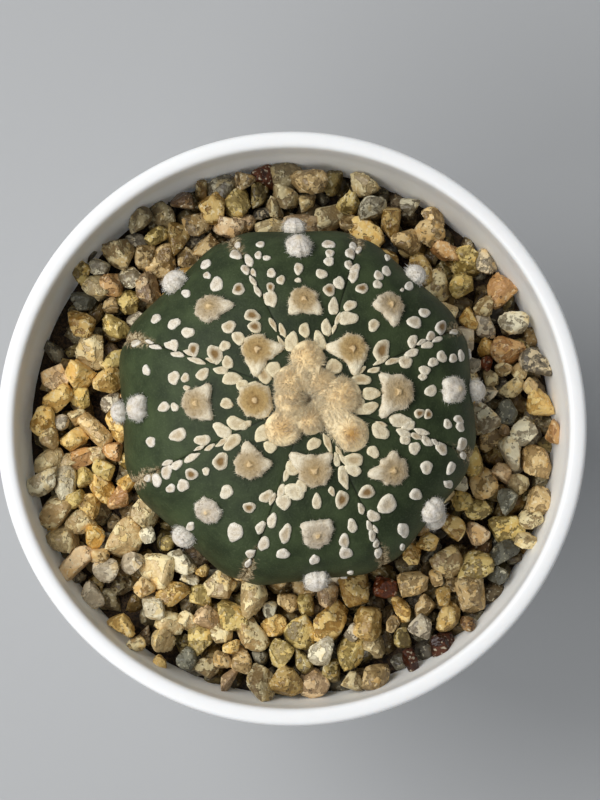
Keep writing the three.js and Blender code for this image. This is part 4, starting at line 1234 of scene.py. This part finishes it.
draw = np.random.default_rng(23)
bed_turn = np.linspace(0, 360, BED_SIDES, endpoint=False)
inner_edge = round_about(plan_radius(FOOT_SHARE, bed_turn) + FOOT_GAP, bed_turn)
outer_edge = BED_RADIUS * unit(inner_edge)
across_bed = np.linspace(0, 1, BED_ROWS)[:, None, None]
bed_top = inner_edge * (1 - across_bed) + outer_edge * across_bed
bed_level = BED_TOP + bed_top @ GRIT_LEAN + draw.normal(0, BED_ROUGHNESS, bed_top.shape[:2])
bed_foot = raised(np.stack([outer_edge, inner_edge]), BED_LOW)
bed_section = np.concatenate([raised(bed_top, bed_level), bed_foot])
fines = Finish("grit_fines", Roughness=0.95)
fines_grain = fines.noise(fines.place(), 0.5, 3.0, 0.7)
fines.feed(fines.shader, {
    # Dark browns: partly the fines' colour, partly painted shade of the deep gaps between stones.
    "Base Color": fines.mix(fines_grain.rising(0.4, 0.65), linear(32, 23, 15), linear(74, 57, 37)),
    "Normal": fines.bump(fines_grain, 0.4),
})
new_piece(
    "bed", bed_section, wrapped_faces(len(bed_section), len(bed_turn))[:, ::-1], fines, "grit"
)

# %% [markdown]
# ## Potting mix
#
# The mix under the grit is right as packed, so it keeps its own mesh and only gets a finish: dark,
# moist, with paler crumbs.

# %% Potting mix finish
mix = Finish("potting_mix", Roughness=0.95)
crumbs = mix.noise(mix.place(), 1.2, 3.0, 0.6)
mix.feed(mix.shader, {
    "Base Color": mix.mix(crumbs.rising(0.45, 0.65), linear(48, 36, 27), linear(104, 84, 60)),
    "Normal": mix.bump(crumbs, 0.5),
})
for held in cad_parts["potting_mix"].material_slots:
    held.material = mix.material
print("potting_mix keeps its CAD mesh")

# %% [markdown]
# ## Pot
#
# A pot like this is moulded in one thin piece: foot ring, tapered wall, a band under a rolled lip,
# and holes in the floor. Its section, carried round the axis, is the whole form. The lip is a
# little flatter on top than a half circle, and sharp corners in the section get small rounds,
# because moulded plastic has none. The filled pot is pressed a little oval, and the mould leaves
# a fine line of flash round the lip. Towards the grit the inside of the wall turns warm and darker
# in patches, partly grit dust and partly painted shade and painted reflection of the grit.

# %% Section of the pot
RIM_RADIUS, RIM_TOP, LIP_ROUND = 45.0, 78.0, 1.3
LIP_FLATNESS = 0.58  # power of a superellipse: 1 is a round lip, less is flatter on top
LIP_DROP, LIP_FLARE, LIP_SLOPE = 5.5, 1.4, (0.5, 1.4)
OUTSIDE_ROUNDS, INSIDE_ROUNDS = [0, 0.4, 0.4, 0.8, 0.5, 0.5, 0.6], [0, 1.5, 1.2]
WALL, MOUTH_RADIUS, MOUTH_LEVEL = 1.0, 42.4, 72.5
BASE_RADIUS, FOOT_WIDTH, FOOT_HEIGHT, FLOOR_TOP = 31.0, 2.5, 1.5, 3.0
POT_SIDES = 256
OVAL = np.array([0.0, 0.01])  # growth of the rim along X and along Y
RIM_SHIFT = np.array([-0.33, 0.22])
FLASH_HEIGHT, FLASH_WIDTH = 0.12, 0.12
DUST_AND_SHADE_FOOT, DUST_AND_SHADE_TOP = (66.0, 67.0), (76.5, 70.5)  # levels between which the dust and painted shade grow, fade


def inside_radius(level):
    """Straight taper of the inside from floor to mouth."""
    share = (level - FLOOR_TOP) / (MOUTH_LEVEL - FLOOR_TOP)
    return (BASE_RADIUS - WALL) * (1 - share) + MOUTH_RADIUS * share


def rounded(corners, rounds, steps=5):
    """A section whose corners are cut by quadratic curves: each starts and ends its round's
    distance from the corner, and no further than 0.45 of the way to the next corner."""
    corners = np.array(corners, float)
    out = [corners[:1]]
    for before, corner, after, size in zip(corners, corners[1:], corners[2:], rounds[1:]):
        sides = np.stack([before - corner, after - corner])
        lengths = np.linalg.norm(sides, axis=1, keepdims=True)
        start, end = corner + sides * np.minimum(size / lengths, 0.45)
        s = np.linspace(0, 1, steps)[:, None]
        out.append((1 - s) ** 2 * start + 2 * s * (1 - s) * corner + s**2 * end)
    return np.concatenate([*out, corners[-1:]])


band_foot = RIM_TOP - LIP_DROP
wall_there = inside_radius(band_foot) + WALL
lip_turn = np.linspace(0, np.pi, 17)[:, None]
lip_round = np.concatenate([np.cos(lip_turn), np.sin(lip_turn)], 1)
lip_round = np.sign(lip_round) * np.abs(lip_round) ** LIP_FLATNESS
lip = [RIM_RADIUS - LIP_ROUND, RIM_TOP - LIP_ROUND] + LIP_ROUND * lip_round
outside = [
    (0.5, FOOT_HEIGHT), (BASE_RADIUS - FOOT_WIDTH - FOOT_HEIGHT / 2, FOOT_HEIGHT),
    (BASE_RADIUS - FOOT_WIDTH, 0), (BASE_RADIUS, 0), (wall_there, band_foot),
    (wall_there + LIP_FLARE, band_foot + LIP_SLOPE[0]), (RIM_RADIUS, band_foot + LIP_SLOPE[1]),
    tuple(lip[0]),
]
inside = [
    tuple(lip[-1]), (MOUTH_RADIUS, MOUTH_LEVEL), (inside_radius(FLOOR_TOP), FLOOR_TOP),
    (0.5, FLOOR_TOP),
]
section = np.concatenate([
    rounded(outside, OUTSIDE_ROUNDS), lip[1:-1], rounded(inside, INSIDE_ROUNDS)
])
print("the pot's section has", len(section), "points")

# %% Pot turned from its section
way = spokes(full_turn(POT_SIDES))
up = np.clip(section[:, 1] / RIM_TOP, 0, 1)[:, None, None] ** 3  # the foot stays round
oval = 1 + OVAL * up
plan = section[:, :1, None] * way * oval + RIM_SHIFT * up
level = section[:, 1, None, None]
flash = FLASH_HEIGHT * bell(level - RIM_TOP + LIP_ROUND, FLASH_WIDTH)
on_rim = (section[:, 0] > RIM_RADIUS - 0.3)[:, None, None]
plan = plan + way * flash * on_rim
low, high = np.array([[0, 0, FOOT_HEIGHT]]), np.array([[0, 0, FLOOR_TOP]])
pot_points = in_order(low, raised(plan, level[..., 0])[None], high)

plastic = Finish(
    "pot_plastic", Roughness=0.36, Subsurface_Weight=0.8, Subsurface_Scale=1.5 * MM,
    Subsurface_Radius=(1.0, 0.95, 0.9),
)
apart = plastic.node("ShaderNodeSeparateXYZ", {}, {0: plastic.place()})
off_x, off_y, height = (Number(plastic, apart.outputs[axis]) for axis in "XYZ")
off_axis = (off_x * off_x + off_y * off_y) * (1 / MM**2)
limit = height * (WALL_TAPER / MM) + (MOUTH_RADIUS + 0.5 * WALL - WALL_TAPER * MOUTH_LEVEL)
inner = (limit * limit - off_axis).rising(-10, 15)  # inside the middle of the wall
for ends in (DUST_AND_SHADE_FOOT, DUST_AND_SHADE_TOP):
    inner = inner * height.rising(*(end * MM for end in ends))
marks = plastic.noise(plastic.place(), 5.0, 4.0, 0.6)
plastic.feed(plastic.shader, {
    # Warm, darker tint inside the wall near the grit: partly dust, partly painted shade and painted
    # reflection of the grit.
    "Base Color": plastic.mix(
        inner * (0.04 + marks * 0.3), linear(248, 248, 246), linear(220, 208, 180)
    ),
    "Roughness": 0.34 + marks * 0.16 + inner * 0.3,
})
pot = ring_piece("pot_shell", pot_points, POT_SIDES, plastic, "pot_plastic", stands_for=["pot"])

# %% Drainage holes
# Seven pegs are taken out of the floor by a Boolean that is applied at once.
HOLE_SIDES, RING_PLACE = 32, 18.0
MIDDLE_HOLE, RING_HOLE = 4.0, 3.0  # radii
PEG_LEVELS = np.array([-2.0, 6.0])

holes = np.array([(0.0, 0.0, MIDDLE_HOLE)] + [
    (RING_PLACE * math.cos(turn), RING_PLACE * math.sin(turn), RING_HOLE)
    for turn in (math.radians(60 * i) for i in range(6))
])
peg_plan = holes[:, None, None, :2] + holes[:, None, None, 2:] * spokes(full_turn(HOLE_SIDES))
peg_rings = raised(np.repeat(peg_plan, 2, axis=1), PEG_LEVELS[:, None])
low, high = (raised(holes[:, :2], level) for level in PEG_LEVELS)
peg_points = in_order(low, peg_rings, high)
pegs = ring_piece("pegs", peg_points, HOLE_SIDES, plastic, "pot_plastic", smooth=False)
cut = pot.modifiers.new("holes", "BOOLEAN")
cut.operation, cut.object, cut.solver = "DIFFERENCE", pegs, "EXACT"
scene_now = bpy.context.evaluated_depsgraph_get()
pierced = bpy.data.meshes.new_from_object(pot.evaluated_get(scene_now))
pot.modifiers.clear()
pot.data = pierced
bpy.data.objects.remove(pegs)
pierced.set_sharp_from_angle(angle=math.radians(40))
print("pot with holes:", len(pierced.polygons), "faces")

# %% [markdown]
# ## Floor, light and camera
#
# The pot stands on a plain pale floor. One broad soft light stands high at the back left, and a
# smaller one nearer and lower at the front left, so the rim shines on the left and soft shadows
# fall to the right. The sky's even light fills the rest. The camera looks almost straight down.

# %% Floor
FLOOR_HALF = 1500.0
corners = np.array([(-1, -1, 0), (1, -1, 0), (1, 1, 0), (-1, 1, 0)]) * FLOOR_HALF
floor_finish = Finish("floor", Roughness=0.9)
floor_finish.shader.inputs["Base Color"].default_value = (*linear(177, 178, 179), 1.0)
floor_mesh = bpy.data.meshes.new("floor")
floor_mesh.from_pydata((corners * MM).tolist(), [], [(0, 1, 2, 3)])
floor_mesh.materials.append(floor_finish.material)
floor = bpy.data.objects.new("floor", floor_mesh)
bpy.context.scene.collection.objects.link(floor)
print("floor at z = 0")


# %% Lights
LIGHT_AIM = Vector((0, 0, 0.07))


def area_light(name, place, size, power):
    """A square light at a place, turned so that it shines at the plant. Metres and watts."""
    light = bpy.data.lights.new(name, "AREA")
    light.shape, light.size, light.energy = "SQUARE", size, power
    lamp = bpy.data.objects.new(name, light)
    lamp.location = place
    lamp.rotation_euler = (LIGHT_AIM - Vector(place)).to_track_quat("-Z", "Y").to_euler()
    bpy.context.scene.collection.objects.link(lamp)


area_light("window", (-0.50, 0.25, 0.78), size=0.5, power=5.5)
area_light("side", (-0.36, -0.25, 0.50), size=0.4, power=1.6)
sky = bpy.data.worlds.new("sky")
sky.use_nodes = True
sky_light = sky.node_tree.nodes["Background"].inputs
sky_light["Color"].default_value = (0.92, 0.96, 1.0, 1.0)
sky_light["Strength"].default_value = 0.28
bpy.context.scene.world = sky
bpy.context.scene.view_settings.view_transform = "Standard"
print("two lights and a sky")

# %% Camera
TILT = 3.5  # degrees from straight down, towards the front
DISTANCE = 300.0  # from the point that it is aimed at
AIM = np.array([0.90, 4.12, 78.0])
FOCAL = 1967.0  # pixels, for a picture 800 pixels tall
PICTURE_HEIGHT, SENSOR = 800, 36.0

camera = bpy.data.objects.new("camera", bpy.data.cameras.new("camera"))
tilt = math.radians(TILT)
camera.location = (AIM + DISTANCE * np.array([0, -math.sin(tilt), math.cos(tilt)])) * MM
camera.rotation_euler = (tilt, 0, 0)
camera.data.sensor_width = SENSOR
camera.data.lens = FOCAL * SENSOR / PICTURE_HEIGHT
camera.data.clip_start, camera.data.clip_end = 0.01, 10.0
bpy.context.scene.collection.objects.link(camera)
bpy.context.scene.camera = camera
print("lens", round(camera.data.lens, 1), "mm")
